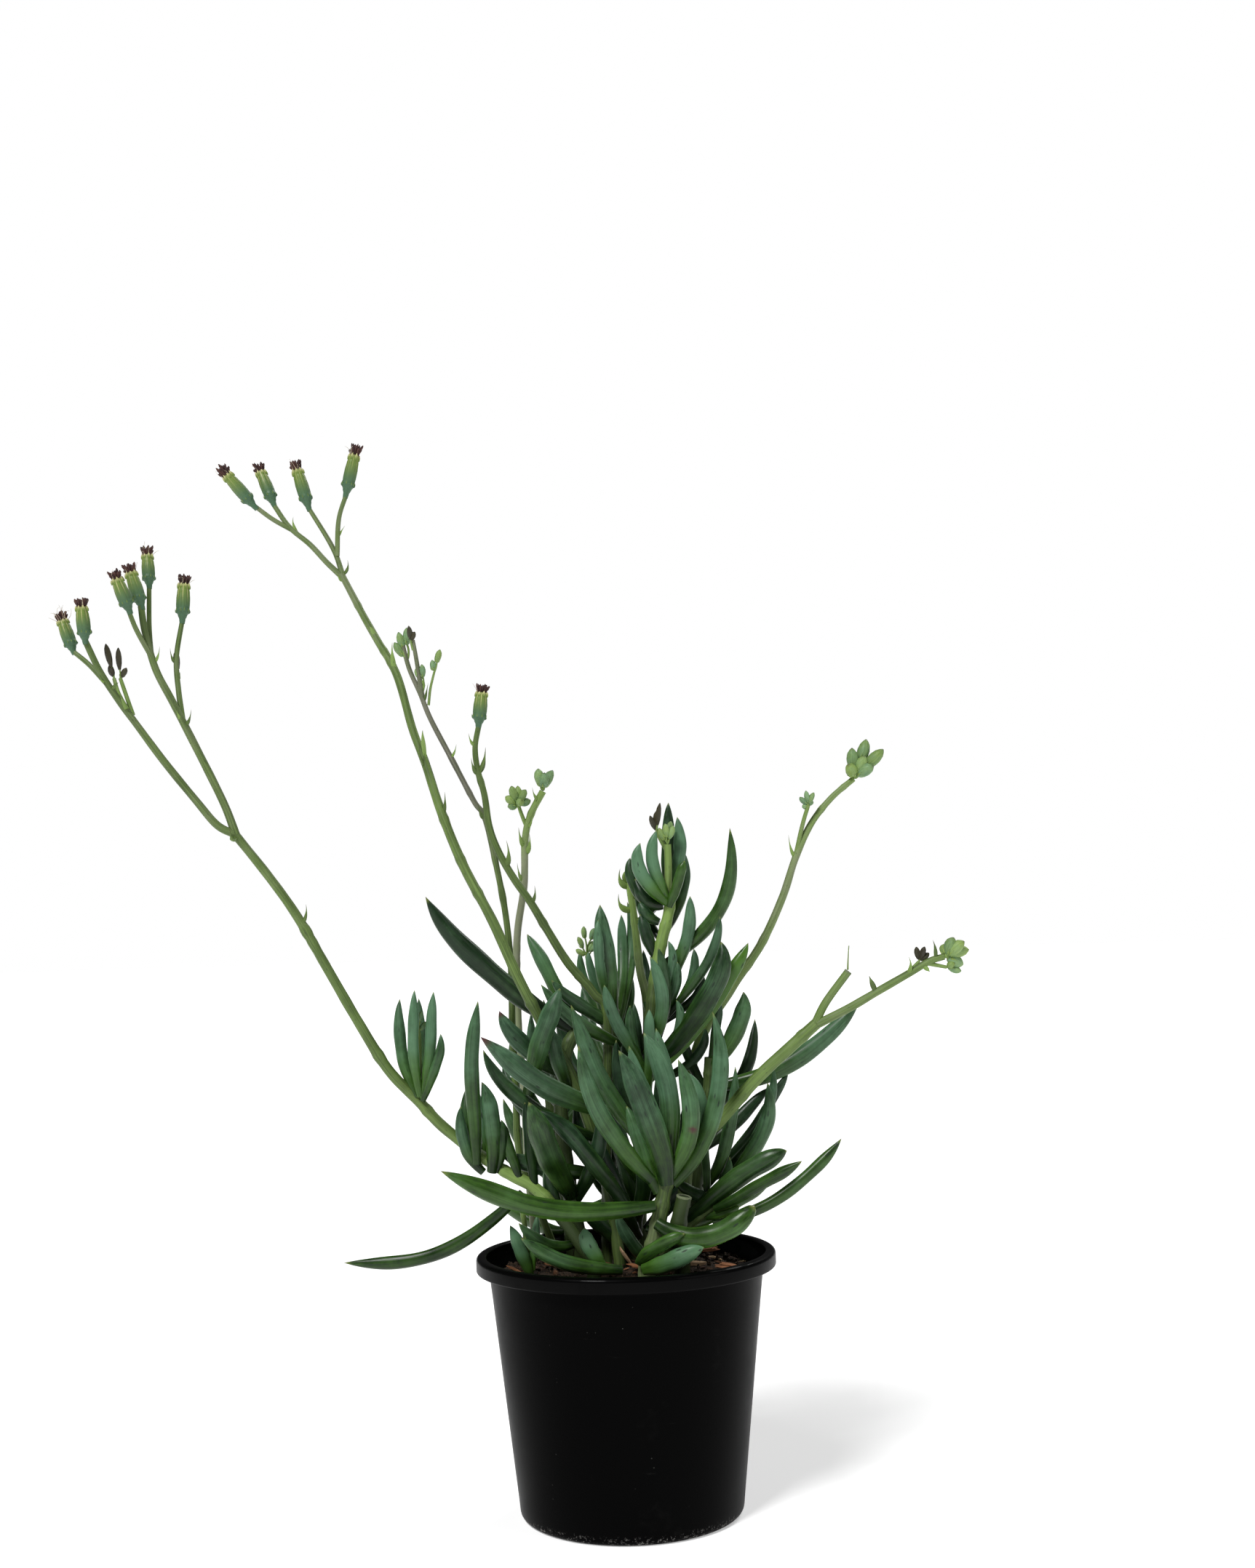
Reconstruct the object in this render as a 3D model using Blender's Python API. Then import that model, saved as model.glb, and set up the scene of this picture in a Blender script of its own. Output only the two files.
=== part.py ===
"""A finger-leaved blue succulent, with its flower stalks, growing in a round nursery pot.

World frame: metres, +Z up. The origin is the middle of the pot's flat underside, +X is
to the right and +Y is away from the front.

The plant is set out in a front elevation. A point (across, depth, height) is what an eye
at EYE sees against the upright plane through the pot's axis, in millimetres, and
`in_place` carries it along the line of sight to its own depth.
"""

import math

import bpy
from mathutils import Matrix, Vector

MM = 0.001
GAP = 0.3                                    # left between pieces that touch
EYE = Vector((0.0, -850.0, 263.0))

# ------------------------------------------------------------------ driving dimensions, mm
POT_HEIGHT = 118.0
RIM_RADIUS = 70.0                            # outside of the lip: a 140 mm pot
LIP_HEIGHT = 7.0
LIP_BORE = 65.2
WALL_TOP_RADIUS = 64.0                       # outside of the wall, right under the lip
WALL_FOOT_RADIUS = 51.8
FOOT_HEIGHT = 3.5
FOOT_INSET = 2.5
WALL = 1.4
FLOOR = 2.0
DRAIN_COUNT = 6
DRAIN_CIRCLE = 36.0
DRAIN_RADIUS = 4.5
DRAIN_START = 20.0                           # degrees round from +X
POT_SEGMENTS = 40

SOIL_EDGE_HEIGHT = 107.5
SOIL_CENTRE_HEIGHT = 111.5
SOIL_SEGMENTS = 30
SOIL_LUMP = 0.7
ROOT_HEIGHT = 92.0                           # how far down the stems reach into the mix
COLLAR_HEIGHT = 114.0                        # up to here a stem stands upright

STEM_SIDES = 8
LEAF_SIDES = 6
HEAD_SIDES = 8

# ---------------------------------------------------------------------------- materials
BLACK_PLASTIC = ("black_plastic", (0.018, 0.018, 0.019), 0.38)
DARK_MIX = ("potting_mix", (0.075, 0.045, 0.028), 0.95)
BARK = ("bark", (0.24, 0.11, 0.05), 0.85)
STEM_GREEN = ("stem_green", (0.36, 0.42, 0.17), 0.55)
LEAF_BLUE = ("leaf_blue_green", (0.16, 0.30, 0.24), 0.45)
LEAF_GREEN = ("leaf_green", (0.13, 0.27, 0.10), 0.45)
HEAD_GREEN = ("flower_head_green", (0.30, 0.36, 0.13), 0.6)

# --------------------------------------------------------------------------------- stems
# name: (where it enters the mix (x, y), radius at the foot, radius at the tip, route)
STEMS = {
    "front_stem": ((9, -36), 4.0, 3.2, [
        (14, -37, 124), (18, -36, 141), (21, -35, 155)]),
    "side_stem": ((13, -12), 3.4, 2.6, [
        (18, -14, 118), (28, -17, 128), (41, -20, 138)]),
    "right_stem": ((30, 12), 3.6, 2.8, [
        (36, 12, 160), (41, 11, 190), (42, 10, 204)]),
    "centre_stem": ((2, 8), 4.0, 1.9, [
        (6, 8, 141), (9, 9, 175), (13, 10, 209), (16, 12, 236), (20, 13, 258),
        (24, 14, 273), (26, 14, 282)]),
    "upright_stem": ((-8, 26), 3.6, 2.8, [
        (-6, 24, 160), (-4, 22, 205), (-3, 22, 228)]),
    "left_stem": ((-20, -6), 3.8, 2.8, [
        (-26, -8, 150), (-29, -6, 185), (-26, -4, 210), (-20, -2, 223)]),
    "back_stem": ((-26, 42), 3.4, 2.6, [
        (-30, 46, 150), (-34, 52, 190)]),
    "cut_stump": ((25, -36), 3.6, 3.4, [
        (25, -37, 128), (28, -38, 142)]),
    "sprout_stem": ((-46, -10), 1.3, 1.1, [
        (-47, -10, 129), (-49, -10, 143)]),
}

# ---------------------------------------------------------------------- flowering stalks
# As STEMS, then the side branches: (radius at its root, radius at its tip, route).
STALKS = {
    "left_stalk": ((-15, -24), 3.2, 2.3, [
        (-21, -23, 121), (-31, -20, 136), (-42, -18, 148), (-54, -16, 155), (-69, -15, 165),
        (-85, -16, 178), (-96, -17, 190), (-110, -19, 205), (-124, -22, 228),
        (-138, -25, 253), (-152, -28, 278), (-165, -31, 297), (-182, -34, 319)], [
        (1.9, 1.5, [(-181, -34, 318), (-187, -35, 334), (-200, -36, 361), (-211, -38, 383),
                    (-219, -40, 399), (-224, -42, 417), (-226, -43, 430)]),
        (1.9, 1.4, [(-181, -34, 318), (-190, -36, 323), (-200, -39, 335), (-215, -43, 354),
                    (-228, -47, 372), (-238, -50, 386), (-246, -53, 399), (-253, -56, 414)]),
        (1.4, 1.1, [(-206, -37, 373), (-208, -34, 388), (-209, -31, 404), (-206, -30, 423)]),
        (1.2, 1.1, [(-221, -41, 405), (-228, -47, 418), (-232, -51, 428)]),
        (1.2, 1.1, [(-221, -41, 405), (-222, -36, 420), (-222, -33, 440)]),
        (1.2, 1.1, [(-243, -52, 393), (-251, -50, 402), (-259, -48, 409)])]),
    "tall_stalk": ((-3, -6), 3.0, 1.8, [
        (-9, -4, 152), (-22, -8, 196), (-37, -17, 225), (-48, -20, 247), (-59, -18, 273),
        (-73, -12, 301), (-83, -6, 327), (-90, 0, 350), (-96, 4, 367), (-103, 9, 393),
        (-112, 13, 410), (-119, 16, 423), (-129, 20, 443)], [
        (1.5, 1.2, [(-128, 20, 441), (-136, 21, 449), (-144, 23, 458), (-154, 25, 467),
                    (-162, 28, 479)]),
        (1.4, 1.1, [(-128, 20, 441), (-133, 22, 456), (-145, 24, 477)]),
        (1.2, 1.1, [(-152, 25, 465), (-162, 23, 471), (-171, 21, 478)]),
        (1.2, 1.1, [(-131, 21, 452), (-130, 20, 470), (-126, 20, 483)])]),
    "thin_stalk": ((-34, 22), 1.9, 1.1, [
        (-48, 22, 160), (-50, 22, 194), (-51, 22, 221), (-51, 22, 250), (-53, 22, 276),
        (-57, 22, 300), (-62, 22, 323), (-67, 23, 331), (-77, 24, 351), (-87, 24, 371),
        (-92, 24, 384), (-97, 25, 396), (-100, 25, 408)], [
        (1.3, 0.9, [(-91, 24, 382), (-93, 22, 397), (-95, 21, 410)])]),
    "dark_head_stalk": ((-9, 6), 2.5, 1.3, [
        (-8, 6, 160), (-6, 6, 225), (-12, 6, 238), (-24, 6, 253), (-33, 6, 268), (-41, 6, 282),
        (-49, 6, 294), (-56, 6, 307), (-60, 6, 319), (-62, 6, 334), (-65, 6, 346),
        (-66, 6, 357), (-64, 6, 368)], []),
    "pale_stalk": ((-44, 36), 1.9, 1.7, [
        (-45, 42, 160), (-46, 46, 192), (-48, 50, 221), (-48, 50, 263), (-44, 50, 290),
        (-43, 50, 312), (-40, 50, 324), (-34, 50, 335)], []),
    "right_stalk": ((24, 34), 2.6, 1.4, [
        (30, 32, 160), (35, 31, 208), (53, 31, 238), (68, 32, 259), (79, 34, 281),
        (86, 35, 300), (94, 37, 316), (104, 38, 328), (115, 40, 337)], [
        (1.1, 1.0, [(86, 35, 301), (90, 34, 316), (93, 32, 325)])]),
    "low_right_stalk": ((26, -6), 3.2, 2.7, [
        (31, -8, 161), (46, -12, 177), (64, -16, 196), (80, -18, 210), (93, -20, 221)], [
        (2.0, 1.8, [(92, -20, 220), (98, -21, 231), (109, -22, 245)]),
        (2.1, 1.5, [(92, -20, 220), (109, -23, 228), (122, -25, 235), (137, -28, 243),
                    (148, -30, 249), (155, -30, 251)])]),
    "spiky_stalk": ((8, 46), 2.0, 1.2, [
        (9, 44, 160), (13, 38, 226), (10, 34, 250), (8, 34, 274), (6, 34, 290)], []),
}

# -------------------------------------------------------------------------- flower heads
# name: (foot, top, width)
HEADS = {
    "flower_head_1": ((-259, -48, 410), (-265, -47, 427), 6.6),
    "flower_head_2": ((-253, -57, 415), (-255, -59, 434), 6.8),
    "flower_head_3": ((-232, -52, 429), (-239, -55, 447), 7.0),
    "flower_head_4": ((-226, -43, 431), (-232, -42, 450), 7.0),
    "flower_head_5": ((-222, -33, 441), (-223, -31, 458), 6.6),
    "flower_head_6": ((-206, -30, 424), (-205, -29, 444), 7.0),
    "flower_head_7": ((-172, 20, 479), (-187, 17, 497), 7.0),
    "flower_head_8": ((-162, 28, 480), (-169, 31, 498), 7.0),
    "flower_head_9": ((-145, 24, 478), (-151, 25, 499), 7.2),
    "flower_head_10": ((-126, 20, 484), (-121, 19, 506), 7.2),
    "flower_head_11": ((-64, 6, 369), (-62, 6, 387), 7.6),
}

# name: (foot, (tip of each bud), width of a bud)
BUD_CLUSTERS = {
    "right_buds": ((116, 40, 338), [
        (115, 38, 352), (122, 42, 355), (129, 38, 351), (125, 34, 344)], 6.0),
    "low_right_buds": ((156, -30, 251), [
        (160, -33, 260), (168, -28, 254), (163, -27, 247)], 4.6),
    "pale_buds": ((-34, 50, 336), [
        (-36, 48, 345), (-30, 52, 344)], 4.2),
}

# -------------------------------------------------------------------------------- leaves
# name: (the stem it grows on, foot, bend, tip, width)
LEAVES = {
    "front_leaf_1": ("front_stem", (20, -39, 148), (13, -45, 180), (-1, -50, 211), 11.4),
    "front_leaf_2": ("front_stem", (22, -31, 158), (21, -31, 192), (11, -31, 219), 9.4),
    "front_leaf_3": ("front_stem", (23, -35, 148), (45, -31, 184), (44, -26, 228), 8.0),
    "front_leaf_4": ("front_stem", (13, -40, 150), (-8, -46, 177), (-20, -52, 214), 8.4),
    "front_leaf_5": ("front_stem", (18, -32, 158), (-8, -27, 196), (-23, -26, 233), 8.2),
    "rim_leaf_1": ("front_stem", (14, -42, 138), (-34, -53, 139), (-86, -64, 157), 7.4),
    "rim_leaf_2": ("front_stem", (15, -42, 130), (39, -52, 124), (61, -54, 136), 10.0),
    "side_leaf_1": ("side_stem", (42, -24, 136), (62, -32, 145), (84, -40, 157), 5.6),
    "side_leaf_2": ("side_stem", (41, -20, 130), (77, -18, 143), (103, -16, 167), 5.6),
    "right_leaf_1": ("right_stem", (38, 6, 146), (50, -2, 170), (54, -2, 202), 6.2),
    "right_leaf_2": ("right_stem", (42, 10, 150), (66, 4, 174), (72, 0, 202), 5.2),
    "right_leaf_3": ("right_stem", (43, 9, 203), (56, 6, 220), (59, 4, 237), 8.4),
    "right_leaf_4": ("right_stem", (43, 13, 194), (85, 16, 207), (114, 12, 231), 7.4),
    "crown_leaf_1": ("centre_stem", (22, 16, 251), (49, 12, 278), (55, 6, 315), 6.8),
    "crown_leaf_2": ("centre_stem", (14, 6, 202), (43, -4, 235), (49, -6, 261), 10.0),
    "crown_leaf_3": ("centre_stem", (22, 11, 279), (13, 6, 293), (12, 4, 309), 5.0),
    "crown_leaf_4": ("centre_stem", (29, 16, 280), (32, 18, 301), (31, 18, 321), 5.0),
    "upright_leaf_1": ("upright_stem", (-3, 18, 226), (-6, 13, 255), (-8, 12, 280), 9.0),
    "upright_leaf_2": ("centre_stem", (12, 5, 209), (20, -5, 233), (15, -8, 255), 6.6),
    "left_leaf_1": ("left_stem", (-22, -2, 222), (-63, -8, 250), (-91, -14, 286), 10.0),
    "left_leaf_2": ("left_stem", (-4, -14, 182), (-36, -34, 196), (-66, -42, 219), 10.0),
    "left_leaf_3": ("left_stem", (-25, -12, 144), (-35, -36, 165), (-44, -46, 188), 11.4),
    "shoot_leaf": ("left_stalk", (-69, -19, 160), (-70, -27, 201), (-67, -29, 236), 6.8),
    "hanging_leaf": ("left_stalk", (-48, -21, 146), (-86, -17, 121), (-132, -12, 116), 6.2),
}

# name: (x, y, length, width, thickness, turn in degrees, tilt in degrees)
BARK_CHIPS = {
    "bark_chip_1": (-36, -40, 15, 8, 3.0, 25, 6),
    "bark_chip_2": (47, -16, 13, 7, 2.6, -50, -7),
    "bark_chip_3": (38, 32, 16, 9, 3.2, 70, 5),
}


# ------------------------------------------------------------------------------- helpers
def in_place(point):
    """A point of the front elevation, carried along the line of sight to its depth."""
    across, depth, height = point
    reach = (depth - EYE.y) / -EYE.y
    return Vector((EYE.x + (across - EYE.x) * reach, depth, EYE.z + (height - EYE.z) * reach))


def smooth_route(points, steps, before=None):
    """A Catmull-Rom curve through the points, with this many steps to each span."""
    ends = [before or 2 * points[0] - points[1], *points, 2 * points[-1] - points[-2]]
    route = []
    for a, b, c, d in zip(ends, ends[1:], ends[2:], ends[3:]):
        for step in range(steps):
            t = step / steps
            route.append(0.5 * (2 * b + (c - a) * t + (2 * a - 5 * b + 4 * c - d) * t ** 2
                                + (3 * b - a - 3 * c + d) * t ** 3))
    return route + [points[-1]]


def bent_route(foot, bend, tip, steps):
    """A quadratic curve that starts at foot, passes bend half way and ends at tip."""
    control = 2 * bend - (foot + tip) / 2
    return [foot * (1 - t) ** 2 + control * 2 * t * (1 - t) + tip * t ** 2
            for t in (step / steps for step in range(steps + 1))]


def tangents(route):
    last = len(route) - 1
    return [(route[min(i + 1, last)] - route[max(i - 1, 0)]).normalized()
            for i in range(len(route))]


def make_material(finish):
    name, colour, roughness = finish
    material = bpy.data.materials.get(name)
    if material is None:
        material = bpy.data.materials.new(name)
        material.use_nodes = True
        shader = material.node_tree.nodes["Principled BSDF"]
        shader.inputs["Base Color"].default_value = (*colour, 1.0)
        shader.inputs["Roughness"].default_value = roughness
        shader.inputs["Metallic"].default_value = 0.0
        material.diffuse_color = (*colour, 1.0)
    return material


def add_object(name, points, faces, finish, flat_above=50):
    """A mesh object from points in millimetres; edges sharper than flat_above stay sharp."""
    mesh = bpy.data.meshes.new(name)
    mesh.from_pydata([Vector(point) * MM for point in points], [], faces)
    mesh.shade_smooth()
    mesh.set_sharp_from_angle(angle=math.radians(flat_above))
    thing = bpy.data.objects.new(name, mesh)
    bpy.context.scene.collection.objects.link(thing)
    mesh.materials.append(make_material(finish))
    return thing


def loft(name, route, sections, sides, finish):
    """A closed skin over rings: sections holds each ring's half width and half depth."""
    points = []
    facing = Vector((0, 1, 0))
    for centre, along, (half_width, half_depth) in zip(route, tangents(route), sections):
        across = along.cross(facing).normalized()
        facing = across.cross(along).normalized()
        for k in range(sides):
            angle = 2 * math.pi * (k + 0.5) / sides
            points.append(centre + across * (half_width * math.cos(angle))
                          + facing * (half_depth * math.sin(angle)))
    faces = [tuple(range(sides)), tuple(reversed(range(len(points) - sides, len(points))))]
    for ring in range(len(route) - 1):
        for k in range(sides):
            a, b = ring * sides + k, ring * sides + (k + 1) % sides
            faces.append((a, a + sides, b + sides, b))
    return add_object(name, points, faces, finish)


def tube(name, centres, start_radius, end_radius, sides):
    last = len(centres) - 1
    radii = [start_radius + (end_radius - start_radius) * i / last for i in range(last + 1)]
    return loft(name, centres, [(radius, radius) for radius in radii], sides, STEM_GREEN)


def turned(name, profile_at, centre_heights, segments, finish):
    """A body round the pot's axis. profile_at gives the (radius, height) points of its
    outline at an angle, from the underside outwards and up; centre_heights closes both ends.
    """
    points, faces = [], []
    for s in range(segments):
        angle = 2 * math.pi * s / segments
        points += [(r * math.cos(angle), r * math.sin(angle), z) for r, z in profile_at(angle)]
    ring = len(points) // segments
    foot, crest = len(points), len(points) + 1
    points += [(0, 0, height) for height in centre_heights]
    for s in range(segments):
        a, b = s * ring, (s + 1) % segments * ring
        faces += [(a + k, b + k, b + k + 1, a + k + 1) for k in range(ring - 1)]
        faces += [(foot, b, a), (crest, a + ring - 1, b + ring - 1)]
    return add_object(name, points, faces, finish, flat_above=35)


def combine(target, tool, operation):
    """Adds a Boolean of a hidden tool object to the target."""
    modifier = target.modifiers.new(tool.name, "BOOLEAN")
    modifier.operation = operation
    modifier.solver = "EXACT"
    modifier.object = tool
    tool.hide_render = True
    tool.display_type = "WIRE"


# ------------------------------------------------------------------------ pot and its mix
def inner_radius(height):
    """Radius of the inside of the pot's wall at a height."""
    share = (height - FOOT_HEIGHT) / (POT_HEIGHT - LIP_HEIGHT - FOOT_HEIGHT)
    return WALL_FOOT_RADIUS + (WALL_TOP_RADIUS - WALL_FOOT_RADIUS) * share - WALL


def make_pot():
    under_lip = POT_HEIGHT - LIP_HEIGHT
    step = under_lip - 1.5                   # the wall steps out here to carry the lip
    outline = [
        (WALL_FOOT_RADIUS - FOOT_INSET, 0), (WALL_FOOT_RADIUS, FOOT_HEIGHT),
        (WALL_TOP_RADIUS, under_lip), (RIM_RADIUS - 0.7, under_lip),
        (RIM_RADIUS, under_lip + 0.7), (RIM_RADIUS, POT_HEIGHT - 1.4),
        (RIM_RADIUS - 1.2, POT_HEIGHT), (LIP_BORE + 0.8, POT_HEIGHT), (LIP_BORE, POT_HEIGHT - 0.8),
        (LIP_BORE, under_lip + 1.5), (inner_radius(step), step), (inner_radius(4.5), 4.5),
        (inner_radius(FOOT_HEIGHT) - 2, FLOOR)]
    pot = turned("pot", lambda angle: outline, (0, FLOOR), POT_SEGMENTS, BLACK_PLASTIC)
    for n in range(DRAIN_COUNT):
        angle = math.radians(DRAIN_START + 360 * n / DRAIN_COUNT)
        bpy.ops.mesh.primitive_cylinder_add(
            vertices=12, radius=DRAIN_RADIUS * MM, depth=3 * FLOOR * MM,
            location=(DRAIN_CIRCLE * MM * math.cos(angle), DRAIN_CIRCLE * MM * math.sin(angle), 0))
        drill = bpy.context.object
        drill.name = f"drain_drill_{n + 1}"
        combine(pot, drill, "DIFFERENCE")


def soil_height(radius, angle):
    """The lumpy top of the mix, highest in the middle."""
    share = radius / LIP_BORE
    lumps = math.sin(5 * angle + radius / 7) + math.sin(9 * angle - radius / 4)
    dome = SOIL_CENTRE_HEIGHT + (SOIL_EDGE_HEIGHT - SOIL_CENTRE_HEIGHT) * share ** 2
    return dome + SOIL_LUMP * 0.5 * lumps * math.sin(math.pi * share)


def make_potting_mix():
    top_radius = inner_radius(SOIL_EDGE_HEIGHT) - GAP

    def outline_at(angle):
        top = [(top_radius * share, soil_height(top_radius * share, angle))
               for share in (1.0, 0.83, 0.66, 0.5, 0.34, 0.17)]
        return [(inner_radius(FOOT_HEIGHT) - 2, FLOOR + GAP), (inner_radius(5.5) - GAP, 5.5)] + top

    ends = (FLOOR + GAP, SOIL_CENTRE_HEIGHT)
    mix = turned("potting_mix", outline_at, ends, SOIL_SEGMENTS, DARK_MIX)
    for name, ((x, y), radius, *_) in {**STEMS, **STALKS}.items():
        bpy.ops.mesh.primitive_cylinder_add(
            vertices=10, radius=(radius / math.cos(math.pi / 10) + GAP) * MM, depth=0.06,
            location=(x * MM, y * MM, (ROOT_HEIGHT - GAP) * MM + 0.03))
        socket = bpy.context.object
        socket.name = f"{name}_socket"
        combine(mix, socket, "DIFFERENCE")


def make_bark_chips():
    for name, (x, y, length, width, thickness, turn, tilt) in BARK_CHIPS.items():
        bpy.ops.mesh.primitive_cube_add(size=1)
        chip = bpy.context.object
        chip.name = name
        chip.data.transform(Matrix.Diagonal((length * MM, width * MM, thickness * MM, 1)))
        chip.rotation_euler = (math.radians(tilt), math.radians(tilt / 2), math.radians(turn))
        rise = length / 2 * math.sin(math.radians(abs(tilt))) + thickness / 2 + 1.2
        height = soil_height(math.hypot(x, y), math.atan2(y, x)) + rise
        chip.location = (x * MM, y * MM, height * MM)
        bevel = chip.modifiers.new("worn edges", "BEVEL")
        bevel.width = 0.7 * MM
        bevel.segments = 1
        chip.data.materials.append(make_material(BARK))


# ------------------------------------------------------------------------------ the plant
def stem_centres(foot, route, steps=2):
    """Straight up out of the mix, then along a smooth curve through the route."""
    root, collar = Vector((*foot, ROOT_HEIGHT)), Vector((*foot, COLLAR_HEIGHT))
    return [root] + smooth_route([collar] + [in_place(p) for p in route], steps, before=root)


def make_stems():
    for name, (foot, start, end, route) in STEMS.items():
        tube(name, stem_centres(foot, route), start, end, STEM_SIDES)


def make_stalks():
    for name, (foot, start, end, route, branches) in STALKS.items():
        stalk = tube(name, stem_centres(foot, route), start, end, STEM_SIDES)
        for n, (root, tip, branch_route) in enumerate(branches, 1):
            centres = smooth_route([in_place(point) for point in branch_route], 2)
            combine(stalk, tube(f"{name}_branch_{n}", centres, root, tip, 6), "UNION")


def head_shape(foot, top, width, clearance):
    """Route and rings of a flower head: a funnel foot, a swollen collar, a cup and a tuft."""
    along = (top - foot).normalized()
    foot = foot + along * clearance
    length = (top - foot).length
    outline = ((0.0, 0.22), (0.1, 0.36), (0.19, 0.5), (0.45, 0.49), (0.8, 0.39), (0.92, 0.42),
               (1.0, 0.28))
    route = [foot + along * (length * share) for share, _ in outline]
    return route, [(width * half, width * half) for _, half in outline]


def make_flower_heads():
    for name, (foot, top, width) in HEADS.items():
        route, sections = head_shape(in_place(foot), in_place(top), width, 3 * GAP)
        loft(name, route, sections, HEAD_SIDES, HEAD_GREEN)


def make_bud_clusters():
    shares = ((0.0, 0.2), (0.25, 0.3), (0.55, 0.5), (0.85, 0.38), (1.0, 0.12))
    for name, (foot, tips, width) in BUD_CLUSTERS.items():
        root = in_place(foot)
        middle = sum((in_place(tip) for tip in tips), Vector()) / len(tips)
        start = root + (middle - root).normalized() * 3 * GAP
        buds = []
        for n, tip in enumerate(tips, 1):
            route = [start.lerp(in_place(tip), share) for share, _ in shares]
            sections = [(width * half, width * half) for _, half in shares]
            buds.append(loft(name if n == 1 else f"{name}_{n}", route, sections, 6, HEAD_GREEN))
        for bud in buds[1:]:
            combine(buds[0], bud, "UNION")


def leaf_half_width(share, width):
    """Half the leaf's width at a share of its length: a narrow foot and a pointed tip."""
    swell = math.sin(math.pi * (0.14 + 0.5 * min(share / 0.6, 1.0) ** 0.8))
    taper = math.sqrt(max(1.0 - (max(share - 0.6, 0.0) / 0.4) ** 2, 0.0))
    return 0.5 * width * swell * (0.1 + 0.9 * taper)


def make_leaves():
    rings = 7
    fine = 60
    trunks = {name: (stem_centres(foot, route, 6), start)
              for name, (foot, start, _, route, *_) in {**STEMS, **STALKS}.items()}
    for name, (stem, foot, bend, tip, width) in LEAVES.items():
        line = bent_route(in_place(foot), in_place(bend), in_place(tip), fine)
        trunk, trunk_radius = trunks[stem]
        clear = trunk_radius + GAP + 0.3 * width
        first = next(i for i, point in enumerate(line)
                     if min((point - other).length for other in trunk) > clear)
        picks = [first + (fine - first) * n / (rings - 1) for n in range(rings)]
        route = [line[round(pick)] for pick in picks]
        halves = [leaf_half_width(n / (rings - 1), width) for n in range(rings)]
        finish = LEAF_GREEN if name.startswith(("rim", "side", "hanging")) else LEAF_BLUE
        loft(name, route, [(half, 0.8 * half) for half in halves], LEAF_SIDES, finish)


def main():
    for thing in list(bpy.data.objects):
        bpy.data.objects.remove(thing, do_unlink=True)
    make_pot()
    make_potting_mix()
    make_bark_chips()
    make_stems()
    make_stalks()
    make_flower_heads()
    make_bud_clusters()
    make_leaves()


main()
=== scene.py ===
"""Looks of a potted finger-leaved succulent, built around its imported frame.

The plant is set out in the same front elevation as the frame: a point (across, depth,
height), in millimetres, is what an eye at EYE sees against the upright plane through the
pot's axis, and `in_place` carries it along the line of sight to its own depth.
"""

import math
import random

import bpy
from bpy.props import FloatProperty, FloatVectorProperty, IntProperty, PointerProperty
from mathutils import Matrix, Vector, noise


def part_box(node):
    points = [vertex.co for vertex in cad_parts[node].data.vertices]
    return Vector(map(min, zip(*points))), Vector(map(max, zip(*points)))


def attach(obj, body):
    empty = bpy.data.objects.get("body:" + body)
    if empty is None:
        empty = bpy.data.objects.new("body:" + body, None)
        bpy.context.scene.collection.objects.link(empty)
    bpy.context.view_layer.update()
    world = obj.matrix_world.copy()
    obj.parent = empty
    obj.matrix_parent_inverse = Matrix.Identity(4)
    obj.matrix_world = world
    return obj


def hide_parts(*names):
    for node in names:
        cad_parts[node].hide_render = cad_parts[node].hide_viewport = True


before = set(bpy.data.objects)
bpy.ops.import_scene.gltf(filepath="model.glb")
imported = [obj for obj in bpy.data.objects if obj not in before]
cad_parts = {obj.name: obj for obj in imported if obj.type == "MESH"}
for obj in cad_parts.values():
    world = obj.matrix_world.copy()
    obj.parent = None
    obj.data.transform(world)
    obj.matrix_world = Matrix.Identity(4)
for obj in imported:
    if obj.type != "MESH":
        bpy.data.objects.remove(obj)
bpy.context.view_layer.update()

bl_info = {
    "name": "Potted finger-leaved succulent",
    "version": (1, 0, 0),
    "blender": (4, 5, 0),
    "location": "3D View > Sidebar > Succulent",
    "description": "Leaves, flowering stalks, pot and mix of a potted finger-leaved succulent",
    "category": "Object",
}

MM = 0.001
EYE = Vector((0.0, -850.0, 263.0))
DEPTH = Vector((0.0, 1.0, 0.0))
UP = Vector((0.0, 0.0, 1.0))
ROOT_HEIGHT = 92.0                           # how far down the stems reach into the mix
COLLAR_HEIGHT = 114.0                        # up to here a stem stands upright

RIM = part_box("pot")[1] / MM                  # the pot's outermost, highest corner
LIP_BORE = 65.2                              # radius of the opening inside the lip
WALL = 1.4                                   # how thick the pot's wall is
FLOOR = 2.0                                  # how thick its floor is
POT_SIDES = 192
DRAIN_COUNT = 6
DRAIN_CIRCLE = 36.0                          # how far from the axis the drainage holes are
DRAIN_RADIUS = 4.5
DRAIN_START = 20.0                           # degrees round the pot to the first of them
SOIL_EDGE_HEIGHT = 107.5
SOIL_CENTRE_HEIGHT = 111.5
SOIL_FOOT_RADIUS = 48.0                      # the edge of the mix on the pot's floor

STEM_STEPS = 14                              # rings from one point of a stem's route to the next
STALK_STEPS = 12
TWIG_STEPS = 10
FIRST_KNUCKLE = 26                           # how far along a stem the first knuckle is
KNUCKLE_SPACE = 9
BLEMISH_AT = 0.42                            # share of a leaf's length
GOLDEN = math.radians(137.5)                 # the turn from one floret or bract to the next

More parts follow.
